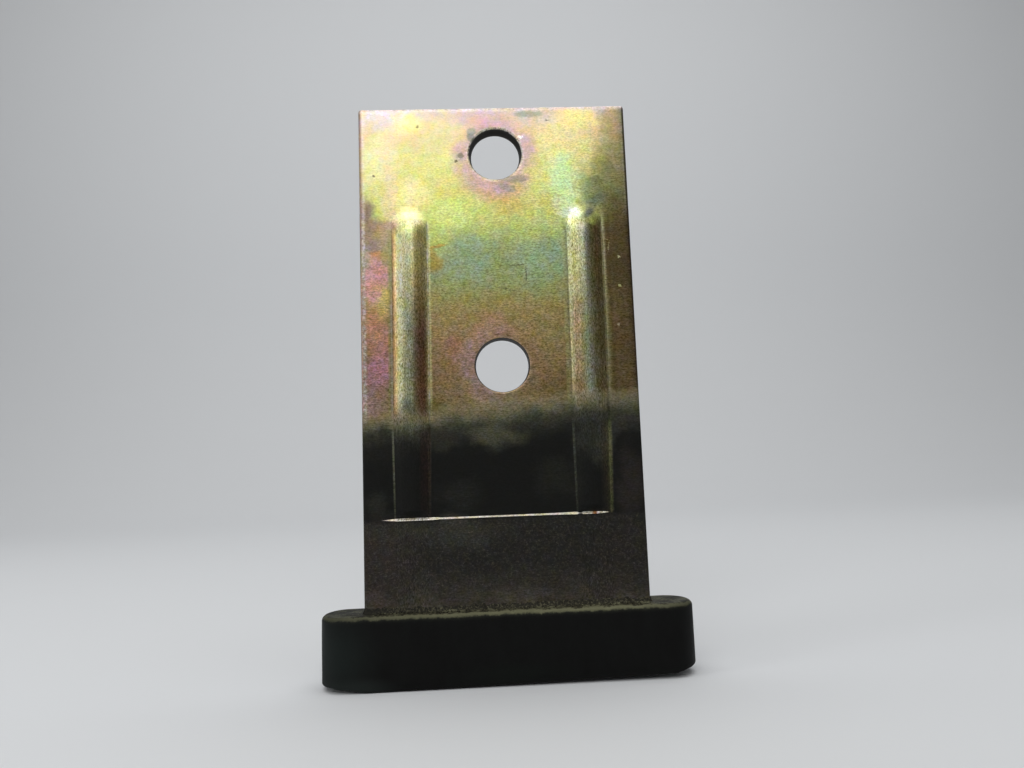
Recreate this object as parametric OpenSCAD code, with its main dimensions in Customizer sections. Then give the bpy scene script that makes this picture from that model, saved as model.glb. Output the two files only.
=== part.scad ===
// Lift door slider: a pressed steel plate whose lower end is moulded into a rubber shoe.
// X runs to the right seen from the front, the front faces -Y, and Z is up.
// The origin is on the plate's back face, midway between the two bolt holes.

/* [Plate] */
// Width of the plate
plate_w = 50.8; // [46:0.2:80]
// Height of the plate above the shoe
plate_rise = 93.1; // [90:0.1:130]
// Thickness of the plate
plate_t = 2.5; // [2:0.1:4]
// Distance by which the plate's centre line lies to the left of the hole line
hole_line_shift = 0.4; // [0:0.1:1.5]
// Radius of the two top corners, seen from the front
corner_r = 0.6; // [0.6:0.1:3]
// Radius rolled over along the front outer edges
edge_r = 0.5; // [0.2:0.1:0.6]

/* [Bolt holes] */
// Diameter of a bolt hole
hole_d = 10; // [6:0.5:13]
// Distance between the two holes
hole_spacing = 40.5; // [36:0.5:60]
// Distance from the upper hole's centre to the plate's top edge
hole_margin = 9.3; // [8:0.1:20]
// Width of the rolled rim on a hole's front edge
hole_rim = 0.3; // [0.1:0.1:0.6]

/* [Ribs] */
// Width of a rib
rib_w = 6.4; // [5:0.2:9]
// Height of a rib above the front face
rib_h = 1; // [0.6:0.1:1.4]
// Distance between the ribs' centre lines
rib_pitch = 32.8; // [28:0.2:36]
// Height of the ribs' domed tops above the lower hole
rib_rise = 29.3; // [24:0.5:32]
// Length over which a rib slopes down to its lower end
rib_slope = 1.2; // [0.6:0.2:3]
// Width of the sharp crease along each side of a rib
crease_w = 0.45; // [0.2:0.05:0.8]
// Depth of that crease
crease_depth = 0.3; // [0.1:0.05:0.5]

/* [Pressed step] */
// Distance from the lower hole's centre down to the step
step_drop = 27.5; // [22:0.5:34]
// Depth of the step
step_depth = 0.35; // [0.2:0.05:0.8]
// Height of the step's sloping riser
riser_h = 0.3; // [0.2:0.05:0.8]
// Height over which the face leans back down to the step
lean_h = 17.5; // [10:0.5:24]
// Length of the step, with its tapered ends
step_l = 41.2; // [34:0.2:44]
// Length over which the step tapers off at each end
step_taper = 2.9; // [1:0.1:5]
// Distance by which the step's middle lies to the left of the hole line
step_shift = 2.1; // [0:0.1:3]
// Gap between a rib's lower end and the step
rib_end_gap = 0.5; // [0.3:0.1:2]

/* [Shoe] */
// Length of the shoe
shoe_l = 66; // [60:0.2:100]
// Thickness of the shoe, which runs in the sill groove
shoe_t = 9; // [8:0.1:14]
// Height of the shoe at its left end
shoe_h = 13.1; // [12:0.1:20]
// Height worn off at the right end
shoe_wear = 1.8; // [0.1:0.1:2]
// Length of the worn slope under the left end
left_toe_l = 7; // [2:0.2:10]
// Height of that slope
left_toe_h = 0.8; // [0.2:0.1:2]
// Length of the worn slope under the right end
right_toe_l = 3; // [2:0.2:10]
// Height of that slope
right_toe_h = 0.3; // [0.2:0.1:2]
// Radius of the shoe's top edge
shoe_edge_r = 1; // [0.4:0.1:2]

/* [Tongue in the shoe] */
// Depth to which the plate reaches into the shoe
tongue_depth = 9; // [6:0.5:10]
// Diameter of the anchor holes that the rubber fills
anchor_d = 4; // [3:0.5:5]
// Distance between neighbouring anchor holes
anchor_pitch = 14; // [8:0.5:18]
// Number of anchor holes
anchor_count = 3; // [2:1:3]
// Gap that the rubber's shrinkage leaves round the tongue
bond_gap = 0.02; // [0.01:0.01:0.1]

/* [Hidden] */
$fn = 96;
eps = 0.01;
over = 1;
zinc_yellow = [0.62, 0.58, 0.38];
rubber_black = [0.09, 0.09, 0.09];

// Heights of the features
lower_hole_z = -hole_spacing / 2;
upper_hole_z = hole_spacing / 2;
plate_top = upper_hole_z + hole_margin;
rib_top = lower_hole_z + rib_rise;
step_z = lower_hole_z - step_drop;
lean_top = step_z + lean_h;
shoe_top = plate_top - plate_rise;
tongue_end = shoe_top - tongue_depth;
plate_h = plate_top - tongue_end;

// The plate's middle, and its front and back faces
plate_x = -hole_line_shift;
front_y = -plate_t;
mid_y = -plate_t / 2;

// A rib is a strip of a cylinder, with its back groove pressed to the same depth
rib_r = (pow(rib_w / 2, 2) + pow(rib_h, 2)) / (2 * rib_h);
groove_r = rib_r - plate_t / 2;
rib_foot = step_z + rib_end_gap;

// Anchor holes sit halfway down the tongue
anchor_z = shoe_top - tongue_depth / 2;

// A plate-sized block with one corner of its section rounded off, along X or along Z
module rolled_section(len, wide, both) {
    linear_extrude(height = len)
        difference() {
            translate([-wide / 2, -plate_t]) square([wide, plate_t]);
            for (side = both ? [-1, 1] : [1])
                translate([side * wide / 2, -plate_t])
                    difference() {
                        square(2 * edge_r, center = true);
                        translate([-side * edge_r, edge_r]) circle(r = edge_r);
                    }
        }
}

// The blank: width and rolled side edges, rolled top edge, and rounded top corners
module blank() {
    intersection() {
        translate([plate_x, 0, tongue_end])
            rolled_section(plate_h, plate_w, true);
        translate([plate_x - plate_w, 0, tongue_end + plate_h / 2])
            rotate([0, -90, 0]) mirror([0, 0, 1])
                rolled_section(2 * plate_w, plate_h, false);
        translate([plate_x, eps, tongue_end]) rotate([90, 0, 0])
            linear_extrude(height = plate_t + 2 * eps) front_outline();
    }
}

// Front view of the blank, from the tongue's end up
module front_outline() {
    difference() {
        translate([-plate_w / 2, 0]) square([plate_w, plate_h]);
        for (side = [-1, 1])
            translate([side * plate_w / 2, plate_h])
                difference() {
                    square(2 * corner_r, center = true);
                    translate([-side * corner_r, -corner_r]) circle(r = corner_r);
                }
    }
}

// Bolt hole with a rolled rim at the front
module bolt_hole() {
    rotate([90, 0, 0]) {
        translate([0, 0, -over]) cylinder(d = hole_d, h = plate_t + 2 * over);
        translate([0, 0, plate_t - hole_rim])
            cylinder(d1 = hole_d, d2 = hole_d + 4 * hole_rim, h = 2 * hole_rim);
    }
}

// Round bar with a domed top, whose strip in front of a plane forms a rib or a groove
module domed_bar(r, foot, top) {
    translate([0, 0, foot])
        rotate_extrude()
            intersection() {
                union() {
                    square([r, top - foot]);
                    translate([0, top - foot]) circle(r = r);
                }
                square([r, top - foot + r]);
            }
}

// Space above a slope that starts at a rib's foot on one face of the plate, as wide as a rib
module above_slope(face_y) {
    translate([-rib_w / 2, 0, 0]) rotate([90, 0, 90])
        linear_extrude(height = rib_w)
            polygon([
                [face_y - rib_h - over, rib_foot + rib_slope * (1 + over / rib_h)],
                [face_y, rib_foot],
                [face_y + plate_t / 2, rib_foot],
                [face_y + plate_t / 2, rib_top],
                [face_y - rib_h - over, rib_top],
            ]);
}

// One raised rib, clipped to its width and sloping down at its lower end
module rib() {
    intersection() {
        translate([0, front_y - rib_h + rib_r, 0])
            domed_bar(rib_r, rib_foot, rib_top - rib_w / 2);
        above_slope(front_y);
    }
}

// The groove that pressing the rib leaves in the back
module back_groove() {
    intersection() {
        translate([0, -rib_h + groove_r, 0])
            domed_bar(groove_r, rib_foot, rib_top - rib_w / 2);
        above_slope(0);
    }
}

// Sharp creases along both sides of a rib
module creases() {
    for (side = [-1, 1])
        translate([side * rib_w / 2, front_y, rib_foot])
            linear_extrude(height = rib_top - rib_w / 2 - rib_foot)
                polygon([
                    [-side * crease_w, -eps],
                    [-side * crease_w, crease_depth],
                    [0, crease_depth],
                    [side * crease_w, -eps],
                ]);
}

// What pressing the step takes off the front: a face that leans back, then a sloping riser
module step_cut() {
    intersection() {
        translate([plate_x - plate_w, 0, 0]) rotate([90, 0, 90])
            linear_extrude(height = 2 * plate_w)
                polygon([
                    [front_y - over, lean_top],
                    [front_y, lean_top],
                    [front_y + step_depth, step_z + riser_h],
                    [front_y, step_z],
                    [front_y - over, step_z],
                ]);
        translate([-step_shift - step_l / 2, 0, step_z - over])
            linear_extrude(height = lean_h + 2 * over)
                polygon([
                    [0, front_y - over],
                    [0, front_y],
                    [step_taper, front_y + step_depth + eps],
                    [step_l - step_taper, front_y + step_depth + eps],
                    [step_l, front_y],
                    [step_l, front_y - over],
                ]);
    }
}

// Places its children at both ribs
module at_ribs() {
    for (side = [-1, 1])
        translate([plate_x + side * rib_pitch / 2, 0, 0]) children();
}

// Places its children at each anchor hole of the tongue
module at_anchors() {
    for (i = [0 : anchor_count - 1])
        translate([plate_x + (i - (anchor_count - 1) / 2) * anchor_pitch, 0, anchor_z])
            children();
}

// Steel plate with its ribs, step, bolt holes and anchor holes
module mounting_plate() {
    color(zinc_yellow)
        difference() {
            union() {
                difference() {
                    blank();
                    step_cut();
                    at_ribs() creases();
                }
                at_ribs() rib();
            }
            at_ribs() back_groove();
            for (z = [lower_hole_z, upper_hole_z])
                translate([0, 0, z]) bolt_hole();
            at_anchors() rotate([90, 0, 0])
                translate([0, 0, -over]) cylinder(d = anchor_d, h = plate_t + 2 * over);
        }
}

// Half section of the shoe, from its middle out, with a rounded top edge
module shoe_half_section() {
    r = shoe_t / 2;
    difference() {
        translate([0, -shoe_h]) square([r, shoe_h]);
        translate([r, 0])
            difference() {
                square(2 * shoe_edge_r, center = true);
                translate([-shoe_edge_r, -shoe_edge_r]) circle(r = shoe_edge_r);
            }
    }
}

// Side view of what wear has taken off the shoe from below
module worn_away() {
    left = -shoe_l / 2;
    right = shoe_l / 2;
    slope = shoe_wear / shoe_l;
    polygon([
        [left - over, -shoe_h - over],
        [left - over, -shoe_h + left_toe_h * (1 + over / left_toe_l)],
        [left + left_toe_l, -shoe_h + slope * left_toe_l],
        [right - right_toe_l, -shoe_h + shoe_wear - slope * right_toe_l],
        [right + over, -shoe_h + shoe_wear + right_toe_h * (1 + over / right_toe_l)],
        [right + over, -shoe_h - over],
    ]);
}

// Shoe block with half-round ends and a worn lower side
module shoe_block() {
    straight = shoe_l - shoe_t;
    difference() {
        union() {
            for (side = [-1, 1])
                translate([side * straight / 2, 0, 0]) rotate([0, 0, -side * 90])
                    rotate_extrude(angle = 180) shoe_half_section();
            for (side = [0, 1]) rotate([0, 0, side * 180])
                translate([-straight / 2, 0, 0]) rotate([90, 0, 90])
                    linear_extrude(height = straight) shoe_half_section();
        }
        translate([0, shoe_t, 0]) rotate([90, 0, 0])
            linear_extrude(height = 2 * shoe_t) worn_away();
    }
}

// Space that the tongue takes up in the shoe, with the rubber that fills the anchor holes left in
module tongue_pocket() {
    difference() {
        translate([plate_x - plate_w / 2 - bond_gap, -plate_t - bond_gap, tongue_end - bond_gap])
            cube([plate_w + 2 * bond_gap, plate_t + 2 * bond_gap, tongue_depth + over]);
        at_anchors() rotate([90, 0, 0])
            translate([0, 0, -over])
                cylinder(d = anchor_d - 2 * bond_gap, h = plate_t + 2 * over);
    }
}

// Rubber shoe, moulded round the tongue
module slider_shoe() {
    color(rubber_black)
        difference() {
            translate([plate_x, mid_y, shoe_top]) shoe_block();
            tongue_pocket();
        }
}

mounting_plate();
slider_shoe();
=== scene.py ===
# %% [markdown]
# # The slider of a lift door
# A lift door hangs from rollers, and this slider keeps its foot in line: two bolts hold the steel plate
# to the door, and the rubber shoe runs in a groove of the sill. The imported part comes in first, as a
# fixed frame in metres. Its box is kept, so that the finished model can be measured against it.

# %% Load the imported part
import math

import bmesh
import bpy
import numpy as np
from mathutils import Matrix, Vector
from mathutils.geometry import delaunay_2d_cdt


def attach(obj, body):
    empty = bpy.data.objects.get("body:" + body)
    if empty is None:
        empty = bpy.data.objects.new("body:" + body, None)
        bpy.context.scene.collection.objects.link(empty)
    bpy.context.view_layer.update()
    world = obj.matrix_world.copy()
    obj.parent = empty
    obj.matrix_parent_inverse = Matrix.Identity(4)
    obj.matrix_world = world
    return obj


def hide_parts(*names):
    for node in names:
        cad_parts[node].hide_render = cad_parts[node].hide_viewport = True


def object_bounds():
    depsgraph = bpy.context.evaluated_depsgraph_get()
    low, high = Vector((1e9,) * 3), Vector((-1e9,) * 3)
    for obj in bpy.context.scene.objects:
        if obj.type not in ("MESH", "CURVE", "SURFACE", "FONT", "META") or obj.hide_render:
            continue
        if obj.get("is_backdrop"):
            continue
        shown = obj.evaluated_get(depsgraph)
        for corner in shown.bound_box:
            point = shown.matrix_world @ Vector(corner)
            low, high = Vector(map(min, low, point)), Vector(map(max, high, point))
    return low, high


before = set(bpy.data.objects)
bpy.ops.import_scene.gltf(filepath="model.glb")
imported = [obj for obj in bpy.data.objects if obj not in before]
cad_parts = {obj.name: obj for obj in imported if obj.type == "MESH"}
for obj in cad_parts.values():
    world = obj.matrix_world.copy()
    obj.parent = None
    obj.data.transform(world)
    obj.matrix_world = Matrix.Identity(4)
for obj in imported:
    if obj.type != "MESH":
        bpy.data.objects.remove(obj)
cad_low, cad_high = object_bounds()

MM = 0.001
print("nodes:", sorted(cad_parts), "box in mm:", [round(v / MM, 2) for v in cad_high - cad_low])

# %% [markdown]
# Colours are given as sRGB hex values, but the renderer works with linear light.
# They could be typed in as linear numbers, but nobody can read those, so one function converts them.

# %% Colours
def colour(hex_value):
    """A linear RGBA colour from an sRGB hex value such as '#c8b464'."""
    parts = [int(hex_value[i:i + 2], 16) / 255 for i in (1, 3, 5)]
    return tuple(p / 12.92 if p <= 0.04045 else ((p + 0.055) / 1.055) ** 2.4 for p in parts) + (1.0,)


print("zinc yellow is", [round(c, 3) for c in colour("#d9d68c")[:3]], "in linear light")

# %% [markdown]
# Every node, whether it bends a mesh or colours a surface, is added by one small function that sets it
# and links it in one line. Most links start at a node's only output in use, so giving the node is enough.

# %% Nodes
def node(tree, kind, inputs=None, stops=(), **settings):
    """Adds one node. inputs maps a socket's name or number to a value, to another node's output, or to
    a node, which means its first output in use. stops, for a colour ramp, are (place, hex value, alpha)."""
    made = tree.nodes.new(kind)
    for name, value in settings.items():
        setattr(made, name, value)
    for k, (place, hex_value, alpha) in enumerate(stops):
        stop = made.color_ramp.elements[k] if k < 2 else made.color_ramp.elements.new(place)
        stop.position, stop.color = place, colour(hex_value)[:3] + (alpha,)
    for socket, value in (inputs or {}).items():
        if isinstance(value, bpy.types.Node):
            value = next(output for output in value.outputs if output.enabled)
        if isinstance(value, bpy.types.NodeSocket):
            tree.links.new(value, made.inputs[socket])
        else:
            made.inputs[socket].default_value = value
    return made


print("nodes are added in Blender", bpy.app.version_string)

# %% [markdown]
# ## The plate
# The plate is blanked from 2.5 mm sheet, so its outline and holes are cut first and its relief is
# pressed afterwards. It is made here in the same order. These are its sizes in millimetres, the same
# as in the CAD source, because a piece that stands in for a CAD node has to keep its form. In the names r
# is a radius, t the sheet's thickness, and w, h and d are a width, a height and a depth.

# %% Sizes of the plate
plate_left, plate_right = -25.8, 25.0
plate_bottom, plate_top, plate_t = -72.55, 29.55, 2.5
edge_r, corner_r, rim_r = 0.5, 0.6, 0.3
hole_r, hole_heights = 5.0, (-20.25, 20.25)
rib_pitch, rib_w, rib_h = 32.8, 6.4, 1.0
rib_foot, rib_top, rib_slope = -47.25, 9.05, 1.2
crease_w, crease_d = 0.45, 0.3
step_z, step_d, riser_h, lean_top = -47.75, 0.35, 0.3, -30.25
step_left, step_right, step_taper = -22.7, 18.5, 2.9
shoe_top = -63.55

dome_z = rib_top - rib_w / 2
rib_r = (rib_w ** 2 / 4 + rib_h ** 2) / (2 * rib_h)
groove_r = rib_r - plate_t / 2
print(f"the ribs are arcs of {rib_r:.2f} mm radius, their back grooves of {groove_r:.2f} mm")

# %% [markdown]
# A few sizes are too small for the CAD source, but the eye sees them. The pressing isn't quite square to
# the blank, so the ribs lean by half a degree. Towards its foot a rib gets a tenth narrower.

# %% Small faults of the pressing
rib_shift, rib_lean = 0.17, 0.0085
foot_taper, taper_from = 1.1, -28.0
print(f"the ribs lean by {math.degrees(math.atan(rib_lean)):.2f} degrees")

# %% [markdown]
# A blanking punch leaves a rolled edge on the side where it enters and a sharp one where it leaves. The
# outline is a loop of points with outward normals, so that one loop, drawn in by a little more at each
# depth, turns round the rolled edge, down the cut wall and onto the back. A Bevel modifier would round
# both sides alike. A hole is the same inside out.

# %% Loops of points round the outline and the holes
def rounded_rectangle(left, right, low, high, radius, arc_points, spacing):
    """Points and outward normals round a rectangle with rounded corners, beginning at the upper right."""
    corners = [(right - radius, high - radius, 0), (left + radius, high - radius, 90),
               (left + radius, low + radius, 180), (right - radius, low + radius, 270)]
    points, normals = [], []
    for k, (x, z, start) in enumerate(corners):
        for a in np.radians(np.linspace(start, start + 90, arc_points)):
            normals.append((math.cos(a), math.sin(a)))
            points.append((x + radius * math.cos(a), z + radius * math.sin(a)))
        nx, nz = normals[-1]
        next_x, next_z, _ = corners[(k + 1) % 4]
        first, end = np.array(points[-1]), np.array((next_x + radius * nx, next_z + radius * nz))
        count = int(np.linalg.norm(end - first) / spacing)
        for t in np.arange(1, count) / count:
            points.append(tuple(first + t * (end - first)))
            normals.append((nx, nz))
    return np.array(points), np.array(normals)


def hole_loop(height, segments=108):
    """Points and normals round a bolt hole; its normals point into the hole."""
    a = np.linspace(0, 2 * math.pi, segments, endpoint=False)
    ring = np.column_stack((np.cos(a), np.sin(a)))
    return ring * hole_r + (0, height), -ring


outline = rounded_rectangle(plate_left, plate_right, plate_bottom, plate_top, corner_r, 9, 0.5)
loops = [outline] + [hole_loop(h) for h in hole_heights]
print("points in the loops:", [len(points) for points, normals in loops])

# %% [markdown]
# The face between the loops is filled with triangles. A crease is only half a millimetre wide while the
# flat needs few points, so grid lines crowd together where the press will make a feature: beside the
# ribs, at their domed ends and at the step. The grid leans with the ribs. Subdividing the whole sheet as
# finely as a crease needs would take many times the points.

# %% A grid crowded round the ribs and the step
def crowded(low, high, gap, wanted, nearest=0.45):
    """Grid lines a gap apart, with the wanted ones among them. nearest is the share of a gap that has to
    lie between a plain line and a wanted one."""
    wanted = np.array(sorted(w for w in wanted if low < w < high))
    plain = [v for v in np.arange(low, high, gap) if np.abs(wanted - v).min() > nearest * gap]
    return np.array(sorted([*plain, *wanted]))


grid_gap = 0.8
from_middle = [0, 0.4, 0.8, 1.2, 1.6, 2, 2.4, 2.7, 2.9, 3.02, 3.1, 3.17, 3.23, 3.32, 3.45, 3.6, 3.75, 4.0, 4.4]
by_ribs = [side * rib_pitch / 2 + way * u for side in (-1, 1) for way in (-1, 1) for u in from_middle]
by_domes, by_step = np.arange(2.0, 13.5, 0.3), np.arange(-48.35, -45.8, 0.1)
across = crowded(plate_left, plate_right, grid_gap, by_ribs)
upward = crowded(plate_bottom, plate_top, grid_gap, [*by_domes, *by_step, lean_top])
grid = np.array([(x - rib_shift + rib_lean * (z - dome_z), z) for x in across for z in upward])
print(len(across), "grid lines across and", len(upward), "upward")

# %% [markdown]
# A Delaunay triangulation joins the grid to the round holes without gaps. The points of the loops come
# first in its answer, because the rings down the cut walls are stitched to them. It fills the holes too,
# so those triangles are thrown out again.

# %% Triangles across a face
def face_triangles(edge_loops, clear=0.25):
    """Points in the plane, triangles between the loops, and where each point of a loop has gone."""
    border = np.vstack(edge_loops)
    keep = np.all((grid > edge_loops[0].min(0) + clear) & (grid < edge_loops[0].max(0) - clear), axis=1)
    for ring in edge_loops[1:]:
        radius = np.linalg.norm(ring[0] - ring.mean(0))
        keep &= np.linalg.norm(grid - ring.mean(0), axis=1) > radius + clear
    edges, first = [], 0
    for ring in edge_loops:
        edges += [(first + k, first + (k + 1) % len(ring)) for k in range(len(ring))]
        first += len(ring)
    points = [Vector(p) for p in np.vstack((border, grid[keep]))]
    verts, _, faces, origin, _, _ = delaunay_2d_cdt(points, edges, [], 1, 1e-6)
    verts, faces = np.array([tuple(v) for v in verts]), np.array([tuple(f) for f in faces])
    for ring in edge_loops[1:]:
        radius = np.linalg.norm(ring[0] - ring.mean(0))
        faces = faces[np.linalg.norm(verts[faces].mean(1) - ring.mean(0), axis=1) > radius * 0.999]
    place = np.zeros(len(border), int)
    for new, old in enumerate(origin):
        for o in old:
            if o < len(border):
                place[o] = new
    return verts, faces, place


print("on the front:", len(face_triangles([points for points, normals in loops])[1]), "triangles")

# %% [markdown]
# Between the front and the back face run rings of points that follow the rolled edge and the cut wall. A
# pierced hole isn't a clean cylinder: it narrows where the metal tore. The lower one narrows by a tenth
# of a millimetre and the upper one by more, so a ring of dark wall shows all round it.

# %% How far the wall is drawn in at each depth
quarter = np.radians(range(0, 91, 15))


def rolled(radius):
    """The rolled edge as (drawn in, depth) from the front face to the wall."""
    return [(radius * (1 - math.sin(a)), -plate_t + radius * (1 - math.cos(a))) for a in quarter]


hole_narrowed = (0.1, 0.38)
cut_wall = [(0.0, -1.2), (0.02, -0.5), (0.03, -0.12), (0.12, 0.0)]
torn_wall = [(0.0, -1.8), (-0.25, -1.4), (-0.7, -0.8), (-1.0, -0.15), (-0.85, 0.0)]
profiles = [rolled(edge_r) + cut_wall]
for narrowed in hole_narrowed:
    profiles.append(rolled(rim_r) + [(share * narrowed, y) for share, y in torn_wall])
print("rows of points down the edge and down each hole:", [len(profile) for profile in profiles])

# %% [markdown]
# Now the sheet is closed: front face, back face and the rings between them. Solidify could thicken one
# face too, but it would not know the rolled edge or the torn walls.

# %% The flat blank
def flat_blank():
    """A closed sheet as vertices and faces, in millimetres, with its front towards -Y."""
    verts, faces, ends = [], [], []
    for end in (0, -1):
        edge_loops = [points - profile[end][0] * normals
                      for (points, normals), profile in zip(loops, profiles)]
        flat, triangles, place = face_triangles(edge_loops)
        ends.append(place + len(verts))
        faces += [tuple(int(i) + len(verts) for i in t) for t in triangles]
        verts += [(x, profiles[0][end][1], z) for x, z in flat]
    offset = 0
    for (points, normals), profile in zip(loops, profiles):
        count = len(points)
        rows = [ends[0][offset:offset + count]]
        for inset, y in profile[1:-1]:
            rows.append(np.arange(len(verts), len(verts) + count))
            verts += [(x, y, z) for x, z in points - inset * normals]
        rows.append(ends[1][offset:offset + count])
        for a, b in zip(rows, rows[1:]):
            faces += [(int(a[k]), int(a[k - 1]), int(b[k - 1]), int(b[k])) for k in range(count)]
        offset += count
    return verts, faces


blank_verts, blank_faces = flat_blank()
print("the blank has", len(blank_verts), "points and", len(blank_faces), "faces")

# %% [markdown]
# A mesh without open edges has an inside, so its faces can be turned outwards and its volume measured.
# Each piece made of rows of points goes through the same function.

# %% The blank as a closed mesh
def closed_mesh(name, verts, faces):
    """A mesh in metres with its normals turned outwards; it has to be closed."""
    mesh = bpy.data.meshes.new(name)
    mesh.from_pydata([(x * MM, y * MM, z * MM) for x, y, z in verts], [], faces)
    bm = bmesh.new()
    bm.from_mesh(mesh)
    bmesh.ops.recalc_face_normals(bm, faces=bm.faces)
    open_edges = sum(not e.is_manifold for e in bm.edges)
    volume = bm.calc_volume(signed=True) / MM ** 3
    bm.to_mesh(mesh)
    bm.free()
    mesh.shade_smooth()
    print(f"{name}: {len(mesh.polygons)} faces, {open_edges} open edges, {volume:.0f} mm3")
    made = bpy.data.objects.new(name, mesh)
    bpy.context.collection.objects.link(made)
    return made


blank = closed_mesh("blank", blank_verts, blank_faces)

# %% [markdown]
# ## Tools made of Geometry Nodes
# A tree is built once and used like a tool. Its sizes are named inputs, so other numbers can be typed in
# later. It ends in Realize Instances and Set Material, because the export drops instances.

# %% Starting and ending a tree
def new_tree(name, sizes):
    """A Geometry Nodes tree with a named input for each size. Gives the tree and its inputs."""
    tree = bpy.data.node_groups.new(name, "GeometryNodeTree")
    tree.is_modifier = True
    for socket, kind in [("Geometry", "Geometry"), *((s, "Float") for s in sizes), ("Material", "Material")]:
        tree.interface.new_socket(name=socket, in_out="INPUT", socket_type="NodeSocket" + kind)
    tree.interface.new_socket(name="Geometry", in_out="OUTPUT", socket_type="NodeSocketGeometry")
    return tree, node(tree, "NodeGroupInput").outputs


def end_tree(tree, geometry, material):
    """Ends a tree with no instances left and with its material set."""
    real = node(tree, "GeometryNodeRealizeInstances", {0: geometry})
    coated = node(tree, "GeometryNodeSetMaterial", {"Geometry": real, "Material": material})
    node(tree, "NodeGroupOutput", {"Geometry": coated})
    print(f"{tree.name}: {len(tree.nodes)} nodes")


print("trees so far:", len(bpy.data.node_groups))

# %% [markdown]
# A modifier runs the tree. An input is set by its socket's identifier, because two inputs may share a
# name. The mesh that comes out is kept as a plain one, and the object with the modifier is removed.

# %% Running a tree
def run_nodes(source, tree, name, values):
    """Runs a tree on an object and keeps the result as a plain mesh object in its place."""
    modifier = source.modifiers.new(tree.name, "NODES")
    modifier.node_group = tree
    for item in tree.interface.items_tree:
        if item.item_type == "SOCKET" and item.in_out == "INPUT" and item.name in values:
            modifier[item.identifier] = values[item.name]
    bpy.context.view_layer.update()
    graph = bpy.context.evaluated_depsgraph_get()
    mesh = bpy.data.meshes.new_from_object(source.evaluated_get(graph))
    made = bpy.data.objects.new(name, mesh)
    mesh.name = name
    bpy.context.collection.objects.link(made)
    bpy.data.objects.remove(source)
    print(f"{name}: {len(mesh.polygons)} faces")
    return made


print("the blank waits with", len(blank.data.polygons), "faces")

# %% [markdown]
# ## Pressing the plate
# The relief follows a rule: the height over any point depends only on how far it is from a rib's middle
# line and from the step. It could be carved by hand in Sculpt Mode, but a tree that knows the rule works
# as the press does. First come the profiles, each as distances from the rib's middle line and the height
# there: the rib with its creases, its domed upper end, and the groove in the back.

# %% Profiles across a rib
reach, half_w, dome_half_w, groove_lip = 4.6, rib_w / 2, 4.3, 0.02
arc_end, crease_bottom = half_w - 0.02, half_w + 0.03
rib_profile = [(u, math.sqrt(rib_r ** 2 - u ** 2) - (rib_r - rib_h)) for u in np.linspace(0, arc_end, 14)]
rib_profile += [(crease_bottom, -crease_d), (half_w + crease_w, 0.0), (reach, 0.0)]
dome_profile = [(u, rib_h * 0.5 * (1 + math.cos(math.pi * min(1.0, u / dome_half_w))))
                for u in np.linspace(0, reach, 14)]
groove_edge = math.sqrt(groove_r ** 2 - (groove_r - rib_h) ** 2)
groove_profile = [(u, math.sqrt(groove_r ** 2 - u ** 2) - (groove_r - rib_h))
                  for u in np.linspace(0, groove_edge, 12)]
groove_profile += [(groove_edge + 0.2, -groove_lip), (reach, -groove_lip)]
print("a rib's profile:", [(round(u, 2), round(h, 2)) for u, h in rib_profile[::4]])

# %% [markdown]
# The tool's sizes are the plate's, with three of its own: how far below the dome's middle a rib's end
# begins to run out, how much the height counts there, and how wavy the sheet is.

# %% Press tool: inputs
press_sizes = {"Rib pitch": rib_pitch, "Rib shift": rib_shift, "Rib lean": rib_lean, "Dome height": dome_z,
               "Rib foot": rib_foot, "Rib slope": rib_slope, "Foot taper": foot_taper,
               "Run-out": 2.0, "Run-out share": 0.66,
               "Step height": step_z, "Step depth": step_d, "Riser height": riser_h, "Lean top": lean_top,
               "Step left end": step_left, "Step right end": step_right, "Step taper": step_taper,
               "Waviness": 0.12}
press, size = new_tree("press_tool", press_sizes)
print("the press tool has", len(press_sizes), "sizes")

# %% [markdown]
# The distance from the nearest rib's middle line is needed twice, here for the relief and later for the
# paint that follows it. So a function adds its nodes to any tree, and takes the sizes as the tree's
# inputs or as plain numbers.

# %% Distance from the ribs
def from_ribs(tree, x, z, size):
    """How far a point is above the domes, beside the plate's middle, and across the nearest rib."""
    over = node(tree, "ShaderNodeMath", {0: z, 1: size["Dome height"]}, operation="SUBTRACT")
    lean = node(tree, "ShaderNodeMath", {0: over, 1: size["Rib lean"]}, operation="MULTIPLY")
    lean = node(tree, "ShaderNodeMath", {0: size["Rib shift"], 1: lean}, operation="SUBTRACT")
    beside = node(tree, "ShaderNodeMath", {0: x, 1: lean})
    side = node(tree, "ShaderNodeMath", {0: beside}, operation="SIGN")
    middle = node(tree, "ShaderNodeMath", {0: size["Rib pitch"], 1: -0.5}, operation="MULTIPLY")
    across_rib = node(tree, "ShaderNodeMath", {0: side, 1: middle, 2: beside}, operation="MULTIPLY_ADD")
    narrow = node(tree, "ShaderNodeMapRange", {"Value": z, "From Min": taper_from, "From Max": size["Rib foot"],
                                               "To Min": 1.0, "To Max": size["Foot taper"]})
    across_rib = node(tree, "ShaderNodeMath", {0: across_rib, 1: narrow}, operation="MULTIPLY")
    return over, beside, across_rib


place = node(press, "GeometryNodeInputPosition")
mm = node(press, "ShaderNodeVectorMath", {0: place, "Scale": 1 / MM}, operation="SCALE")
x, y, z = node(press, "ShaderNodeSeparateXYZ", {0: mm}).outputs
over, _, across_rib = from_ribs(press, x, z, size)
print("nodes in the press tool:", len(press.nodes))

# %% [markdown]
# Near a rib's upper end a second distance also grows with height, slowly, so that the rib fades into the
# flat over several millimetres instead of ending like a finger tip. A curve only knows numbers from 0 to
# 1, so both distances are divided by the profiles' reach.

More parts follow.
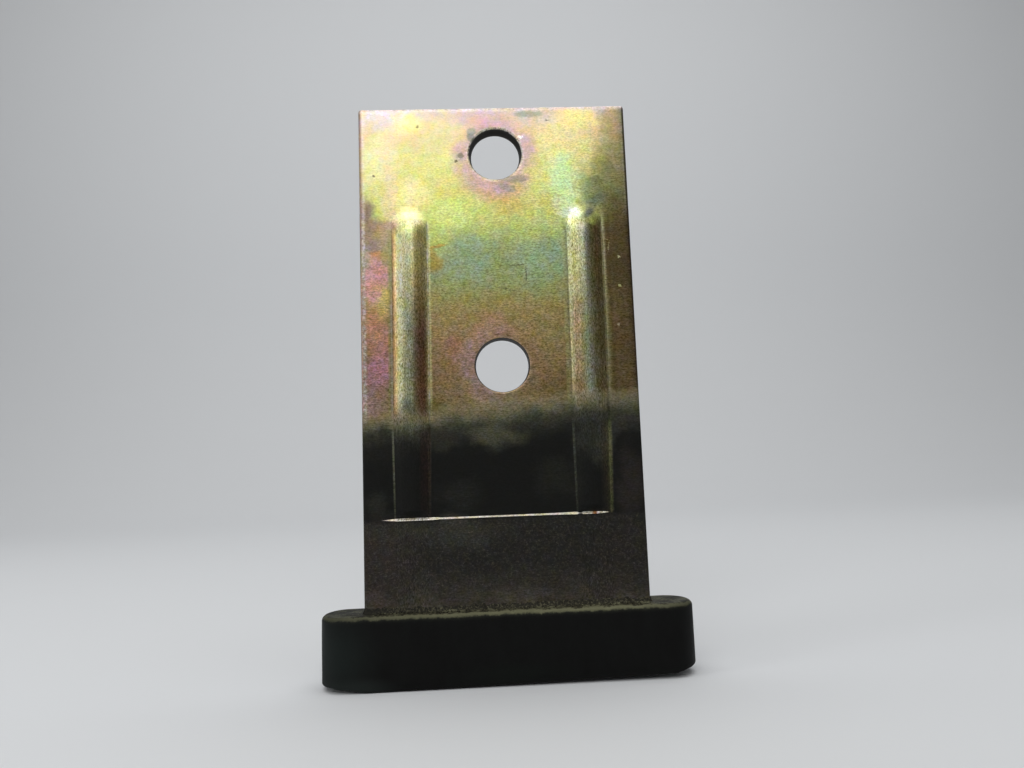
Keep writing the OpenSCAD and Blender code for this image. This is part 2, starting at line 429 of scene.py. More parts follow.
# %% Press tool: distances
aside = node(press, "ShaderNodeMath", {0: across_rib}, operation="ABSOLUTE")
above = node(press, "ShaderNodeMath", {0: over, 1: size["Run-out"]})
above = node(press, "ShaderNodeMath", {0: above, 1: 0.0}, operation="MAXIMUM")
above = node(press, "ShaderNodeMath", {0: above, 1: size["Run-out share"]}, operation="MULTIPLY")
away = node(press, "ShaderNodeCombineXYZ", {0: aside, 1: above})
away = node(press, "ShaderNodeVectorMath", {0: away}, operation="LENGTH")
away = node(press, "ShaderNodeMath", {0: away, 1: reach}, operation="DIVIDE", use_clamp=True)
aside = node(press, "ShaderNodeMath", {0: aside, 1: reach}, operation="DIVIDE", use_clamp=True)
print("nodes in the press tool:", len(press.nodes))

# %% [markdown]
# A Float Curve node turns a distance into a height. Its 0 stands for the bottom of the crease and its 1
# for the rib's crest, and a Map Range node brings them back to millimetres.

# %% Press tool: profiles as curves
heights = {}
for name, distance, profile, handles in (("rib", aside, rib_profile, "VECTOR"),
                                         ("dome", away, dome_profile, "AUTO"),
                                         ("groove", away, groove_profile, "VECTOR")):
    curve = node(press, "ShaderNodeFloatCurve", {"Value": distance})
    drawn = curve.mapping.curves[0]
    for k, (u, h) in enumerate(profile):
        spot = (u / reach, (h + crease_d) / (rib_h + crease_d))
        if k in (0, len(profile) - 1):
            drawn.points[0 if k == 0 else -1].location = spot
        else:
            drawn.points.new(*spot)
    for point in drawn.points:
        point.handle_type = handles
    curve.mapping.update()
    heights[name] = node(press, "ShaderNodeMapRange",
                         {"Value": curve, "To Min": -crease_d, "To Max": rib_h}, clamp=False)
print("profile curves:", list(heights))

# %% [markdown]
# The creases beside a rib are deep on its right and nearly filled with zinc on its left. The sharp
# profile blends into the soft one at the upper end, and ribs and grooves slope to nothing at the foot.

# %% Press tool: ribs and grooves
crease_left, blend_half = 0.2, 2.0
crest = node(press, "ShaderNodeMath", {0: heights["rib"], 1: 0.0}, operation="MAXIMUM")
crease = node(press, "ShaderNodeMath", {0: heights["rib"], 1: 0.0}, operation="MINIMUM")
worn = node(press, "ShaderNodeMapRange", {"Value": across_rib, "From Min": -1.0, "From Max": 1.0,
                                          "To Min": crease_left, "To Max": 1.0})
sharp = node(press, "ShaderNodeMath", {0: crease, 1: worn, 2: crest}, operation="MULTIPLY_ADD")
domed = node(press, "ShaderNodeMapRange", {"Value": over, "From Min": -blend_half, "From Max": blend_half},
             interpolation_type="SMOOTHSTEP")
height = node(press, "ShaderNodeMix", {"Factor": domed, "A": sharp, "B": heights["dome"]})
slope_top = node(press, "ShaderNodeMath", {0: size["Rib foot"], 1: size["Rib slope"]})
full = node(press, "ShaderNodeMapRange", {"Value": z, "From Min": size["Rib foot"], "From Max": slope_top})
height = node(press, "ShaderNodeMath", {0: height, 1: full}, operation="MULTIPLY")
back = node(press, "ShaderNodeMath", {0: heights["groove"], 1: 0.0}, operation="MAXIMUM")
back = node(press, "ShaderNodeMath", {0: back, 1: full}, operation="MULTIPLY")
print("nodes in the press tool:", len(press.nodes))

# %% [markdown]
# The step leans in from above, drops back over its riser and tapers off at both ends. Each of these is a
# ramp from nothing to the full depth, and the least of the four ramps is the depth at a point.

# %% Press tool: step
riser_top = node(press, "ShaderNodeMath", {0: size["Step height"], 1: size["Riser height"]})
left_full = node(press, "ShaderNodeMath", {0: size["Step left end"], 1: size["Step taper"]})
right_full = node(press, "ShaderNodeMath", {0: size["Step right end"], 1: size["Step taper"]},
                  operation="SUBTRACT")
depth = size["Step depth"]
for value, start, end in ((z, size["Lean top"], riser_top), (z, size["Step height"], riser_top),
                          (x, size["Step left end"], left_full), (x, size["Step right end"], right_full)):
    ramp = node(press, "ShaderNodeMapRange", {"Value": value, "From Min": start, "From Max": end,
                                              "To Max": size["Step depth"]})
    depth = node(press, "ShaderNodeMath", {0: depth, 1: ramp}, operation="MINIMUM")
print("the step is", step_right - step_left, "mm long")

# %% [markdown]
# A raised rib keeps its height, and elsewhere the deeper of step and crease counts. The front's relief
# moves the front half of the sheet and the groove moves the back half. Rolled sheet is never quite flat
# either, so a very slow noise moves both by a few hundredths of a millimetre.

# %% Press tool: moving the sheet
barely_raised = 0.005
sunk = node(press, "ShaderNodeMath", {0: height, 1: -1.0}, operation="MULTIPLY")
deeper = node(press, "ShaderNodeMath", {0: depth, 1: sunk}, operation="MAXIMUM")
raised = node(press, "ShaderNodeMath", {0: height, 1: barely_raised}, operation="GREATER_THAN")
front = node(press, "ShaderNodeMix", {"Factor": raised, "A": deeper, "B": sunk})
back = node(press, "ShaderNodeMath", {0: back, 1: -1.0}, operation="MULTIPLY")
at_back = node(press, "ShaderNodeMath", {0: y, 1: -plate_t / 2}, operation="GREATER_THAN")
shift = node(press, "ShaderNodeMix", {"Factor": at_back, "A": front, "B": back})
swell = node(press, "ShaderNodeTexNoise", {"Vector": mm, "Scale": 0.07, "Detail": 1.0})
swell = node(press, "ShaderNodeMath", {0: swell, 1: 0.5}, operation="SUBTRACT")
shift = node(press, "ShaderNodeMath", {0: swell, 1: size["Waviness"], 2: shift}, operation="MULTIPLY_ADD")
offset = node(press, "ShaderNodeCombineXYZ", {1: shift})
offset = node(press, "ShaderNodeVectorMath", {0: offset, "Scale": MM}, operation="SCALE")
pressed = node(press, "GeometryNodeSetPosition", {"Geometry": size["Geometry"], "Offset": offset})
end_tree(press, pressed, size["Material"])

# %% [markdown]
# ## The plate's finish: zinc with yellow passivation
# The steel is zinc plated and dipped in a yellow chromate. The film is thinner than a wavelength in
# places, so it goes from straw yellow through pink and green to bronze, in soft clouds a centimetre
# wide. It could be painted as one flat yellow, but the clouds are what tells this finish from brass. All
# patterns are drawn in millimetres of Object coordinates, so they stay on the metal.

# %% A new material
def new_material(name):
    """A material without a shader yet, its tree, and the place on the object in millimetres."""
    made = bpy.data.materials.new(name)
    made.use_nodes = True
    tree = made.node_tree
    tree.nodes.clear()
    coords = node(tree, "ShaderNodeTexCoord").outputs["Object"]
    return made, tree, node(tree, "ShaderNodeVectorMath", {0: coords, "Scale": 1 / MM}, operation="SCALE")


zinc, tree, mm = new_material("yellow_passivated_zinc")
x, y, z = node(tree, "ShaderNodeSeparateXYZ", {0: mm}).outputs
print("material:", zinc.name)

# %% [markdown]
# Two helpers lay paint. The first lays a ramp of colours along a distance, for whatever follows a line.
# The second adds spots of colour with soft or sharp edges, for whatever lies where it happened to.

# %% Two ways to lay paint
def laid(tree, paint, value, stops, mask=1.0):
    """Lays a ramp along a distance over the paint. A stop is (distance, hex value, how much it covers).
    Gives the new paint and how much of the old one is covered."""
    low, high = stops[0][0], stops[-1][0]
    at = node(tree, "ShaderNodeMapRange", {"Value": value, "From Min": low, "From Max": high})
    ramp, cover = node(tree, "ShaderNodeValToRGB", {"Fac": at},
                       stops=[((u - low) / (high - low), c, a) for u, c, a in stops]).outputs
    cover = node(tree, "ShaderNodeMath", {0: cover, 1: mask}, operation="MULTIPLY")
    over = node(tree, "ShaderNodeMix", {"Factor": cover, "A": paint, "B": ramp}, data_type="RGBA")
    return over, cover


def spotted(tree, paint, vector, soft, deep, spots):
    """Adds spots (hex value, x, z, half width, half height, turn, strength), in mm and degrees.
    soft says how far in their edges reach, and deep how far from the front face they are seen."""
    for hex_value, cx, cz, half_wide, half_high, turn, strength in spots:
        at = node(tree, "ShaderNodeMapping",
                  {"Vector": vector, "Location": (cx, -plate_t, cz), "Rotation": (0, math.radians(turn), 0),
                   "Scale": (half_wide, deep, half_high)}, vector_type="TEXTURE")
        near = node(tree, "ShaderNodeTexGradient", {"Vector": at}, gradient_type="SPHERICAL").outputs["Fac"]
        share = node(tree, "ShaderNodeMapRange", {"Value": near, "From Max": soft, "To Max": strength},
                     interpolation_type="SMOOTHSTEP")
        paint = node(tree, "ShaderNodeMix", {"Factor": share, "A": paint, "B": colour(hex_value)},
                     data_type="RGBA")
    return paint


through, front_only = 1000, 2.2
print("spots go right through the part, or", front_only, "mm deep")

# %% [markdown]
# A slow noise pushes the place where the film is looked up by a millimetre or two, which gives its clouds
# drifting edges. Marks of use get ragged edges from a finer noise in the same way.

# %% Zinc: uneven places
def pushed(tree, place, reach, noise):
    """A place pushed about, along x and z, by less than half of reach."""
    push = node(tree, "ShaderNodeTexNoise", {"Vector": place, **noise}).outputs["Color"]
    push = node(tree, "ShaderNodeVectorMath", {0: push, 1: (0.5, 0.5, 0.5)}, operation="SUBTRACT")
    return node(tree, "ShaderNodeVectorMath", {0: push, 1: (reach, 0, reach), 2: place},
                operation="MULTIPLY_ADD")


drifting = pushed(tree, mm, 7, {"Scale": 0.2, "Detail": 5.0, "Roughness": 0.6})
ragged_edge = pushed(tree, mm, 1.2, {"Scale": 1.6, "Detail": 3.0, "Roughness": 0.7})
drifting_x, _, drifting_z = node(tree, "ShaderNodeSeparateXYZ", {0: drifting}).outputs
print("nodes in the zinc:", len(tree.nodes))

# %% [markdown]
# The first list is the film's colour by height, darker downwards; part of that darkening is painted
# shade, where the light falls off towards the bottom. The second lists its clouds: yellow and green where
# the film is thick, pink where it is thinner, and a dark brown down the right side, which is painted
# shade, where the light falls off towards the right.

# %% Zinc: film and clouds
film_and_shade_down = [
    (-30, "#98885e"), (-20, "#a48a64"), (-14, "#b2986c"), (-8.5, "#b0a368"), (-4.5, "#a6ae78"),
    (-1, "#a2b088"), (2.5, "#a8b684"), (5.5, "#c0cc80"), (9, "#d4d880"), (14, "#d8d686"), (20, "#dcd890"),
    (24, "#dcc69c"), (28, "#ccbcae"), (30, "#c4b4ac")]
film_and_shade_clouds = [
    ("#d8cdc9", -22, 28.5, 11, 5, 0, 0.9), ("#eae696", -17.2, 26.3, 4.5, 3.5, 0, 0.7),
    ("#e8e4ae", -21.5, 18.6, 4.5, 8, 0, 0.7), ("#f8eaa8", -16.0, 12.2, 5.5, 4.5, 0, 0.85),
    ("#c2aaac", -2, 27.5, 8, 3.5, 0, 0.8), ("#bba8a4", 4, 29.8, 9, 2.0, 0, 0.7),
    ("#f0e296", 16, 27.4, 7, 3.4, 0, 0.9), ("#dcd096", -11, 25, 6, 4, 0, 0.6),
    ("#e8dc98", 12.5, 22.5, 6, 6.5, 0, 0.8), ("#d4eeb0", 12.5, 15, 4.5, 6.5, 0, 0.9),
    ("#cea890", 0, 13.2, 8, 3.4, 0, 0.85), ("#d0a868", 2.5, 10.2, 5, 3, 0, 0.5),
    ("#ecfcc8", 12.8, 9.6, 3.0, 4.0, 0, 0.7), ("#dcec90", -9, 8.5, 6, 3.5, 0, 0.7),
    ("#d0d86c", -11, 2.5, 3.5, 5, 0, 0.5), ("#a2b892", -5.5, 0.5, 7, 5, 0, 0.6),
    ("#a4ae6c", 0.5, -1.5, 3, 9, 0, 0.6), ("#a4bc90", 8, -1.5, 6.5, 5, 0, 0.7),
    ("#bc9472", -1.5, -14, 6, 3.5, 0, 0.7), ("#b88c76", -8, -16.5, 4.5, 4, 0, 0.8),
    ("#a89c66", 10, -15, 5, 7, 0, 0.6), ("#8f7c6c", -24.6, 8, 3, 6.5, 0, 0.95),
    ("#bc9a84", -22, 5, 3, 6, 0, 0.7), ("#e2a8a4", -22.8, -2.5, 4, 5.5, 0, 0.9),
    ("#e2cc80", -21.8, -8, 3.2, 3.2, 0, 0.9), ("#d8a084", -22.5, -14, 4, 5.5, 0, 0.85),
    ("#cc96a0", -22.5, -20.5, 4.5, 6, 0, 0.85), ("#ecd2b0", -19.8, 14, 1.7, 15, 0, 0.5),
    ("#c8a090", -21.2, 7, 2.6, 2.2, 0, 0.7), ("#8c7484", -23.2, 2.5, 1.6, 2.4, 0, 0.45),
    ("#b08880", -24.6, 3.4, 1.6, 2.6, 0, 0.6), ("#d89a60", -22.4, 0.6, 1.9, 1.6, 0, 0.55),
    ("#eeb2a6", -24.2, -6.0, 2.0, 3.8, 0, 0.85), ("#dca084", -24.2, -11, 1.9, 3, 0, 0.8),
    ("#b8a468", -20.8, 0.8, 1.2, 2.6, 0, 0.7), ("#c8a458", 10.2, 10.4, 3, 3.2, 0, 0.2),
    ("#82a890", 10, 1.5, 2.6, 4.5, 0, 0.35), ("#b0903c", -11.8, -0.6, 2, 2.4, 0, 0.7),
    ("#b09868", 23, 25.5, 4.5, 6, 0, 0.7), ("#b4a870", 21, 21, 3.4, 8, 0, 0.6),
    ("#66745e", 18.6, 13, 3.2, 3.2, 0, 0.7), ("#94a678", 16.6, 13.4, 2.2, 6.0, 0, 0.7),
    ("#7c8c70", 17.8, 10.6, 1.5, 1.5, 0, 0.7), ("#c4d088", 9.8, 6.4, 2.6, 2.6, 0, 0.5),
    ("#b4bc78", -9.5, -5.5, 2.5, 3, 0, 0.5), ("#787850", 24, 13, 8, 14, 0, 0.9),
    ("#a89c74", 24.3, 18.8, 2.8, 5.5, 0, 0.6), ("#5c5a3c", 24.2, 10.5, 3, 4, 0, 0.6),
    ("#605337", 24, 1, 10, 15, 0, 1.0), ("#564a32", 23.5, -5, 4, 6, 0, 0.6),
    ("#b3958f", -24.5, -27, 4, 4.5, 0, 0.8), ("#7c6e48", 10, -25, 5, 4.5, 0, 0.6),
    ("#705f42", 24, -15, 9, 15, 0, 0.95), ("#7a6848", 23.5, -28, 8, 12, 0, 0.9)]
paint, _ = laid(tree, colour("#000000"), drifting_z, [(height, tone, 1.0) for height, tone in film_and_shade_down])
paint = spotted(tree, paint, drifting, 0.7, through, film_and_shade_clouds)
print(len(film_and_shade_clouds), "clouds on a film of", len(film_and_shade_down), "colours")

# %% [markdown]
# Much of what else the plate shows follows a line: a band along each rib, a ring round each hole, a rim
# along the edges. So the distances from these lines are worked out once: across a rib, from a hole's
# middle, and from the left, right and top edges.

# %% Zinc: distances
_, beside, across_rib = from_ribs(tree, x, z, press_sizes)
at_left = node(tree, "ShaderNodeMath", {0: beside, 1: 0.0}, operation="LESS_THAN")
at_right = node(tree, "ShaderNodeMath", {0: beside, 1: 0.0}, operation="GREATER_THAN")


def from_holes(vector):
    """The distance from the nearest hole's middle."""
    hole_x, _, hole_z = node(tree, "ShaderNodeSeparateXYZ", {0: vector}).outputs
    hole_z = node(tree, "ShaderNodeMath", {0: hole_z}, operation="ABSOLUTE")
    hole_z = node(tree, "ShaderNodeMath", {0: hole_z, 1: hole_heights[1]}, operation="SUBTRACT")
    flat = node(tree, "ShaderNodeCombineXYZ", {0: hole_x, 2: hole_z})
    return node(tree, "ShaderNodeVectorMath", {0: flat}, operation="LENGTH")


from_hole, near_hole = from_holes(mm), from_holes(drifting)
from_left = node(tree, "ShaderNodeMath", {0: x, 1: plate_left}, operation="SUBTRACT")
from_right = node(tree, "ShaderNodeMath", {0: plate_right, 1: x}, operation="SUBTRACT")
from_top = node(tree, "ShaderNodeMath", {0: plate_top, 1: z}, operation="SUBTRACT")
print("nodes in the zinc:", len(tree.nodes))

# %% [markdown]
# Masks say how far up or down a band reaches. The pink halo of the upper hole goes all round it and the
# lower hole has it only at its upper left. Towards the foot the ribs' bands turn darker and browner. The
# speckle breaks bright rims up into dots: along the top, down the lower part of the left edge, and where
# the upper hole's washer sat.

# %% Zinc: masks
masks = {"all": 1.0}
for name, value, start, end in (("left rib", z, 8.0, 4.0), ("right rib", z, 8.6, 5.0), ("upper", z, 5.0, 11.0),
                                ("lower", z, 11.0, 5.0), ("left low", z, 3.0, -16.0),
                                ("right low", z, -1.0, -12.0)):
    masks[name] = node(tree, "ShaderNodeMapRange", {"Value": value, "From Min": start, "From Max": end},
                       interpolation_type="SMOOTHSTEP")
speckle = node(tree, "ShaderNodeTexNoise", {"Vector": mm, "Scale": 1.5, "Detail": 3.0, "Roughness": 0.8})
masks["speckle"] = node(tree, "ShaderNodeMapRange", {"Value": speckle, "From Min": 0.4, "From Max": 0.56})
masks["rubbed_and_highlit"] = masks["washer"] = masks["speckle"]
for name, narrower in (("left rib", at_left), ("left low", at_left), ("right rib", at_right),
                       ("right low", at_right), ("rubbed_and_highlit", masks["lower"]), ("washer", masks["upper"])):
    masks[name] = node(tree, "ShaderNodeMath", {0: masks[name], 1: narrower}, operation="MULTIPLY")
upper_left = node(tree, "ShaderNodeMapRange",
                  {"Value": drifting_x, "From Min": 2.0, "From Max": -5.0, "To Max": 0.6})
masks["halo"] = node(tree, "ShaderNodeMath", {0: upper_left, 1: masks["upper"]}, operation="MAXIMUM")
print("masks:", sorted(masks))

# %% [markdown]
# The ribs' bands are partly what they reflect and partly painted light: the left flank looks at the window
# and gets a painted highlight, the crest looks at the room, and the right flank at its dark side, with
# painted shade, so the paint helps the lamps. A pale line follows each rib's right foot, a painted
# highlight where the crease's outer side faces the light.

# %% Zinc: bands of the ribs
left_bands = [
    (-4.2, "#a8a468", 0), (-3.75, "#a8a46c", 0.7), (-3.4, "#b4ac74", 0.85), (-3.2, "#8c7450", 0.85),
    (-3.0, "#b08a60", 0.85), (-2.6, "#f4d49c", 0.95), (-2.2, "#fffcc4", 1), (-1.5, "#fffcd0", 1),
    (-1.0, "#d8d29e", 0.95), (-0.5, "#cacca2", 0.95), (0.2, "#dcdcb0", 0.95), (0.65, "#e2d8a8", 0.95),
    (1.0, "#c0b280", 0.95), (1.5, "#b4a86c", 0.95), (2.3, "#c0b476", 0.95), (3.0, "#d8d094", 0.95),
    (3.15, "#d8cc94", 0.95), (3.32, "#fffff0", 1), (3.6, "#fcfabc", 0.9), (4.0, "#ccc880", 0)]
left_low = [
    (-3.9, "#8c7c6c", 0), (-3.6, "#8c7c6c", 0.6), (-3.4, "#c8bea8", 0.7), (-3.2, "#6c5a44", 0.6),
    (-2.9, "#8a7450", 0.7), (-2.4, "#b09a68", 0.6), (-1.6, "#e8e8a4", 0.5), (-1.0, "#b4b48c", 0.75),
    (-0.2, "#9c9e88", 0.85), (0.4, "#848468", 0.85), (0.9, "#706450", 0.9), (1.8, "#6c4c3a", 0.95),
    (2.5, "#74503e", 0.95), (2.95, "#907858", 0.85), (3.2, "#c4b488", 0.4), (3.7, "#b0a070", 0.5),
    (4.1, "#a09468", 0)]
right_bands = [
    (-4.4, "#bcc27e", 0), (-3.9, "#a8ae7c", 0.7), (-3.4, "#b4be92", 0.85), (-3.05, "#ccd2a2", 0.9),
    (-2.6, "#fafab8", 1), (-2.2, "#dad890", 0.95), (-1.4, "#d6d2a0", 0.95), (-1.0, "#c2be98", 0.95),
    (-0.6, "#c4c6a6", 0.95), (-0.3, "#b4b69a", 0.95), (0.2, "#868578", 0.95), (0.6, "#837e68", 0.95),
    (1.2, "#7c764e", 1), (2.2, "#806c48", 1), (3.0, "#7c744c", 1), (3.2, "#988c66", 1),
    (3.45, "#b4b48e", 1), (3.8, "#8c8468", 0.95), (4.1, "#625538", 0.95), (4.6, "#5c4d33", 0.9),
    (5.2, "#66593a", 0)]
right_low = [
    (-4.2, "#b49c6c", 0), (-3.6, "#ac9868", 0.6), (-2.9, "#a8966e", 0.6), (-2.4, "#c6a684", 0.8),
    (-1.7, "#bca080", 0.8), (-1.1, "#a49a70", 0.8), (-0.3, "#98a284", 0.85), (0.3, "#9c9e88", 0.8),
    (1.0, "#8a8666", 0.7), (2.2, "#786e4c", 0.7), (3.0, "#80785a", 0.6), (3.5, "#948c68", 0.5),
    (4.0, "#9c9468", 0.5), (4.5, "#7c7048", 0.6), (5.2, "#705f42", 0)]
for stops, mask in ((left_bands, "left rib"), (left_low, "left low"),
                    (right_bands, "right rib"), (right_low, "right low")):
    paint, _ = laid(tree, paint, across_rib, stops, masks[mask])
print("nodes in the zinc:", len(tree.nodes))

# %% [markdown]
# Where a rib begins, its dome gets a painted highlight, and the right one a painted shadow at its upper
# right, with a small painted highlight below it. Further down, just above the dark lower part, spots darken
# the ribs and what lies beside them. Neither follows the ribs' length, so these are spots.

# %% Zinc: domes and feet of the ribs
rib_spots = [
    ("#fff6cc", -16.2, 7.6, 3.0, 2.4, 0, 0.7), ("#dde6ca", 14.3, 8.2, 2.4, 1.8, 0, 0.75),
    ("#b4a898", 15.4, 5.6, 1.3, 2.0, 0, 0.6), ("#59636a", 17.3, 8.3, 1.1, 2.2, 45, 0.8),
    ("#6e6c5a", -17.6, -28.6, 3.4, 4.0, 0, 0.75), ("#75693f", -12, -28, 3.5, 3, 0, 0.6),
    ("#8e7c5c", 13.8, -25, 2.4, 4.5, 0, 0.7), ("#66593c", 22, -26, 3.5, 4, 0, 0.6),
    ("#5e6862", 19.2, 10.9, 2.8, 1.7, -15, 0.45), ("#c4cc70", 17.9, 6.4, 1.1, 1.0, 0, 0.8)]
paint = spotted(tree, paint, mm, 0.8, through, rib_spots)
print(len(rib_spots), "spots on and beside the ribs")

# %% [markdown]
# The edges come next, with painted light and shade: a pale painted highlight along the top, a bright
# painted highlight with a darker line just inside it down the left edge, and painted shade down the right
# edge, which faces away from the light. The lower left edge has also been rubbed, so there the highlight
# breaks into bright specks. A painted shade draws a dark line just inside each hole's rim, and round the
# upper one a pale speckled ring shows where the bolt's washer sat.

# %% Zinc: halo, edges and hole rims
rims = [
    (near_hole, "halo", [(4, "#c49ca6", 0.85), (6.4, "#c8a8aa", 0.8), (7.4, "#d0b09c", 0.5),
        (8.8, "#d8b888", 0)]),
    (from_right, "upper", [(0, "#5c5040", 0.9), (0.35, "#6c6450", 0.9), (0.6, "#9c967c", 0.7),
        (0.95, "#7c7658", 0.5), (2.4, "#8c8460", 0)]),
    (from_right, "lower", [(0, "#4c3e2e", 0.9), (0.3, "#54483a", 0.8), (0.7, "#5c5038", 0.5),
        (1.6, "#66593a", 0)]),
    (from_left, "upper", [(0, "#f4ece4", 0.85), (0.1, "#f0e6dc", 0.8), (0.2, "#a48880", 0.8),
        (0.5, "#ac9088", 0.7), (0.8, "#e4d8c8", 0.5), (1.3, "#e0d8c0", 0)]),
    (from_left, "lower", [(0, "#a89088", 0.6), (0.6, "#b49c94", 0.6), (1.4, "#c0a8a4", 0)]),
    (from_left, "rubbed_and_highlit", [(0.3, "#f4f0e8", 0), (0.55, "#f0e8dc", 0.65), (0.85, "#f0e8dc", 0.65),
        (1.1, "#f4f0e8", 0)]),
    (from_top, "all", [(0, "#b49c96", 0.8), (0.35, "#c0aca4", 0.6), (0.9, "#d0c0b4", 0)]),
    (from_top, "speckle", [(0, "#e8dcd4", 0.9), (0.5, "#e4d4ca", 0.8), (1.0, "#e0ccc0", 0)]),
    (from_hole, "all", [(4.9, "#2a2018", 1), (5.05, "#2a2018", 1), (5.15, "#b09c84", 0.6),
        (5.3, "#b4a088", 0.3), (5.5, "#d0b0a8", 0)]),
    (from_hole, "washer", [(4.95, "#fff6e4", 0), (5.02, "#fff6e4", 0.9), (5.3, "#f4ead4", 0.8),
        (5.6, "#e8d8c4", 0)])
]
for value, mask, stops in rims:
    paint, _ = laid(tree, paint, value, stops, masks[mask])
print("rims:", len(rims))

# %% [markdown]
# Years of use have left marks: spots where the film has gone to white or grey oxide, pits and specks
# with dirt in them, a few fine scratches beside the middle and a bright nick at the upper hole. They are
# spots too, with sharp and slightly ragged edges, and only on the front.

# %% Zinc: marks of use
marks = [
    ("#9a9e8c", 6.5, 28.1, 3.6, 0.8, 0, 0.8), ("#96988a", -4.4, 24.7, 1.2, 0.9, 0, 0.8),
    ("#989080", 3.4, 15.2, 3.6, 1.0, 0, 0.75), ("#8c9480", 2.0, 13.6, 2.4, 0.9, 20, 0.6),
    ("#7c8674", -4.6, 23.6, 0.8, 1.2, 0, 0.7), ("#6c6a58", -6.6, 20.0, 0.9, 0.7, 0, 0.7),
    ("#f8f0e0", 4.9, 23.5, 0.7, 0.4, 40, 0.9), ("#3a3226", 10.0, 26.7, 0.35, 0.3, 0, 0.8),
    ("#4a3e30", -7.5, 19.0, 0.35, 0.35, 0, 0.8), ("#4c4034", -23.0, 16.3, 0.4, 0.35, 0, 0.8),
    ("#50452e", -14.6, 25.8, 0.3, 0.3, 0, 0.7), ("#c08440", -11.4, 2.4, 2.0, 0.45, -14, 0.6),
    ("#54523a", 3.2, -1.5, 1.9, 0.16, 0, 0.7), ("#54523a", 5.0, -3.2, 0.16, 1.9, 0, 0.7),
    ("#5e6048", 1.0, -6.0, 2.6, 0.16, 12, 0.6), ("#d8d4a0", 22.6, -0.3, 0.35, 0.3, 0, 0.8),
    ("#ccc89a", 22.4, -6.0, 0.3, 0.35, 0, 0.8), ("#b0a87c", 20.3, 3.0, 0.8, 0.16, 0, 0.55),
    ("#b0a87c", 20.7, 1.5, 0.16, 1.5, 12, 0.5), ("#b8b08c", 19.6, -7.5, 0.4, 0.3, 0, 0.7),
    ("#c4bc94", 21.8, -13.3, 0.35, 0.3, 0, 0.7)]
paint = spotted(tree, paint, ragged_edge, 0.45, front_only, marks)
print("marks of use:", len(marks))

# %% [markdown]
# The plate's lower part is darkened to nearly black. The edge of the dark part is uneven, higher on the
# right, and fades over a few millimetres. A straight edge would look like tape.

# %% Zinc: the dark lower part
wave = node(tree, "ShaderNodeTexNoise", {"Vector": mm, "Scale": 0.16, "Detail": 6.0, "Roughness": 0.65})
wave = node(tree, "ShaderNodeMath", {0: wave, 1: 0.5}, operation="SUBTRACT")
below = node(tree, "ShaderNodeMapRange", {"Value": x, "From Min": -22.0, "From Max": 14.0,
                                          "To Min": -30.3, "To Max": -27.4})
below = node(tree, "ShaderNodeMath", {0: below, 1: z}, operation="SUBTRACT")
below = node(tree, "ShaderNodeMath", {0: wave, 1: 5.0, 2: below}, operation="MULTIPLY_ADD")
darkening_stops = [
    (-2.6, "#80785c", 0), (-1.3, "#80785c", 0.6), (0.0, "#6c6850", 0.9), (0.9, "#5c5b48", 1),
    (2.0, "#3e3f2f", 1), (3.1, "#32322a", 1), (4.2, "#1e1f19", 1), (6.0, "#0f100c", 1), (8.0, "#0b0c08", 1)]
paint, darkening = laid(tree, paint, below, darkening_stops)
haze = [
    ("#52523f", -1.5, -32.8, 8, 2.4, 0, 0.8), ("#34352b", 0, -34.6, 5.5, 2.0, -10, 0.5),
    ("#302f26", -11.5, -33.0, 6, 2.6, 0, 0.6), ("#15140f", -22, -34.6, 8, 3.6, 0, 0.8),
    ("#24231b", -22.8, -32.2, 4, 1.8, 0, 0.5), ("#3a3a32", 21, -32, 6, 2.5, 0, 0.5),
    ("#2d2e26", 14.6, -34, 3.6, 5.5, 0, 0.8), ("#45463a", 17.5, -35, 3, 5, 0, 0.6),
    ("#23241c", 9, -41, 6, 6, 0, 0.5), ("#24251f", -9, -44, 7, 4, 0, 0.5),
    ("#2a2521", 22.5, -42, 4, 9, 0, 0.8), ("#262720", -23, -45, 3, 4, 0, 0.7)]
paint = spotted(tree, paint, drifting, 0.8, through, haze)
print("the coat has", len(darkening_stops), "stops and", len(haze), "hazy places")

# %% [markdown]
# In the dark lower part the ribs' feet show only as thin lines: painted highlights along the creases and
# painted shade on the right flanks, stronger in specks. They fade on the way down and end at the step.

# %% Zinc: feet of the ribs in the dark lower part
foot_left = [
    (-3.7, "#84866c", 0), (-3.5, "#84866c", 0.35), (-3.3, "#84866c", 0.35), (-3.15, "#303028", 0),
    (1.4, "#2c1c16", 0.0), (2.0, "#2c1c16", 0.4), (2.9, "#2c1c16", 0.45), (3.15, "#443a30", 0.6),
    (3.5, "#443a30", 0.5), (3.8, "#303028", 0)]
foot_right = [
    (-3.7, "#707464", 0), (-3.5, "#4c5044", 0.6), (-3.3, "#4c5044", 0.5), (-3.1, "#303028", 0),
    (1.2, "#3c3424", 0), (2.4, "#3c3424", 0.5), (3.0, "#4c4a2c", 0.6), (3.3, "#84845c", 0.7),
    (3.6, "#6c6c48", 0.55), (4.0, "#303028", 0)]
above_step = node(tree, "ShaderNodeMapRange", {"Value": z, "From Min": -47.9, "From Max": -47.4})
in_darkening = node(tree, "ShaderNodeMapRange", {"Value": z, "From Min": -30.0, "From Max": -33.0})
in_darkening = node(tree, "ShaderNodeMath", {0: above_step, 1: in_darkening}, operation="MULTIPLY")
in_darkening = node(tree, "ShaderNodeMath", {0: in_darkening, 1: masks["speckle"], 2: in_darkening}, operation="MULTIPLY_ADD")
fading_down = node(tree, "ShaderNodeMapRange", {"Value": z, "From Min": -34.0, "From Max": -47.0,
                                             "To Min": 0.75, "To Max": 0.3})
in_darkening = node(tree, "ShaderNodeMath", {0: in_darkening, 1: fading_down}, operation="MULTIPLY")
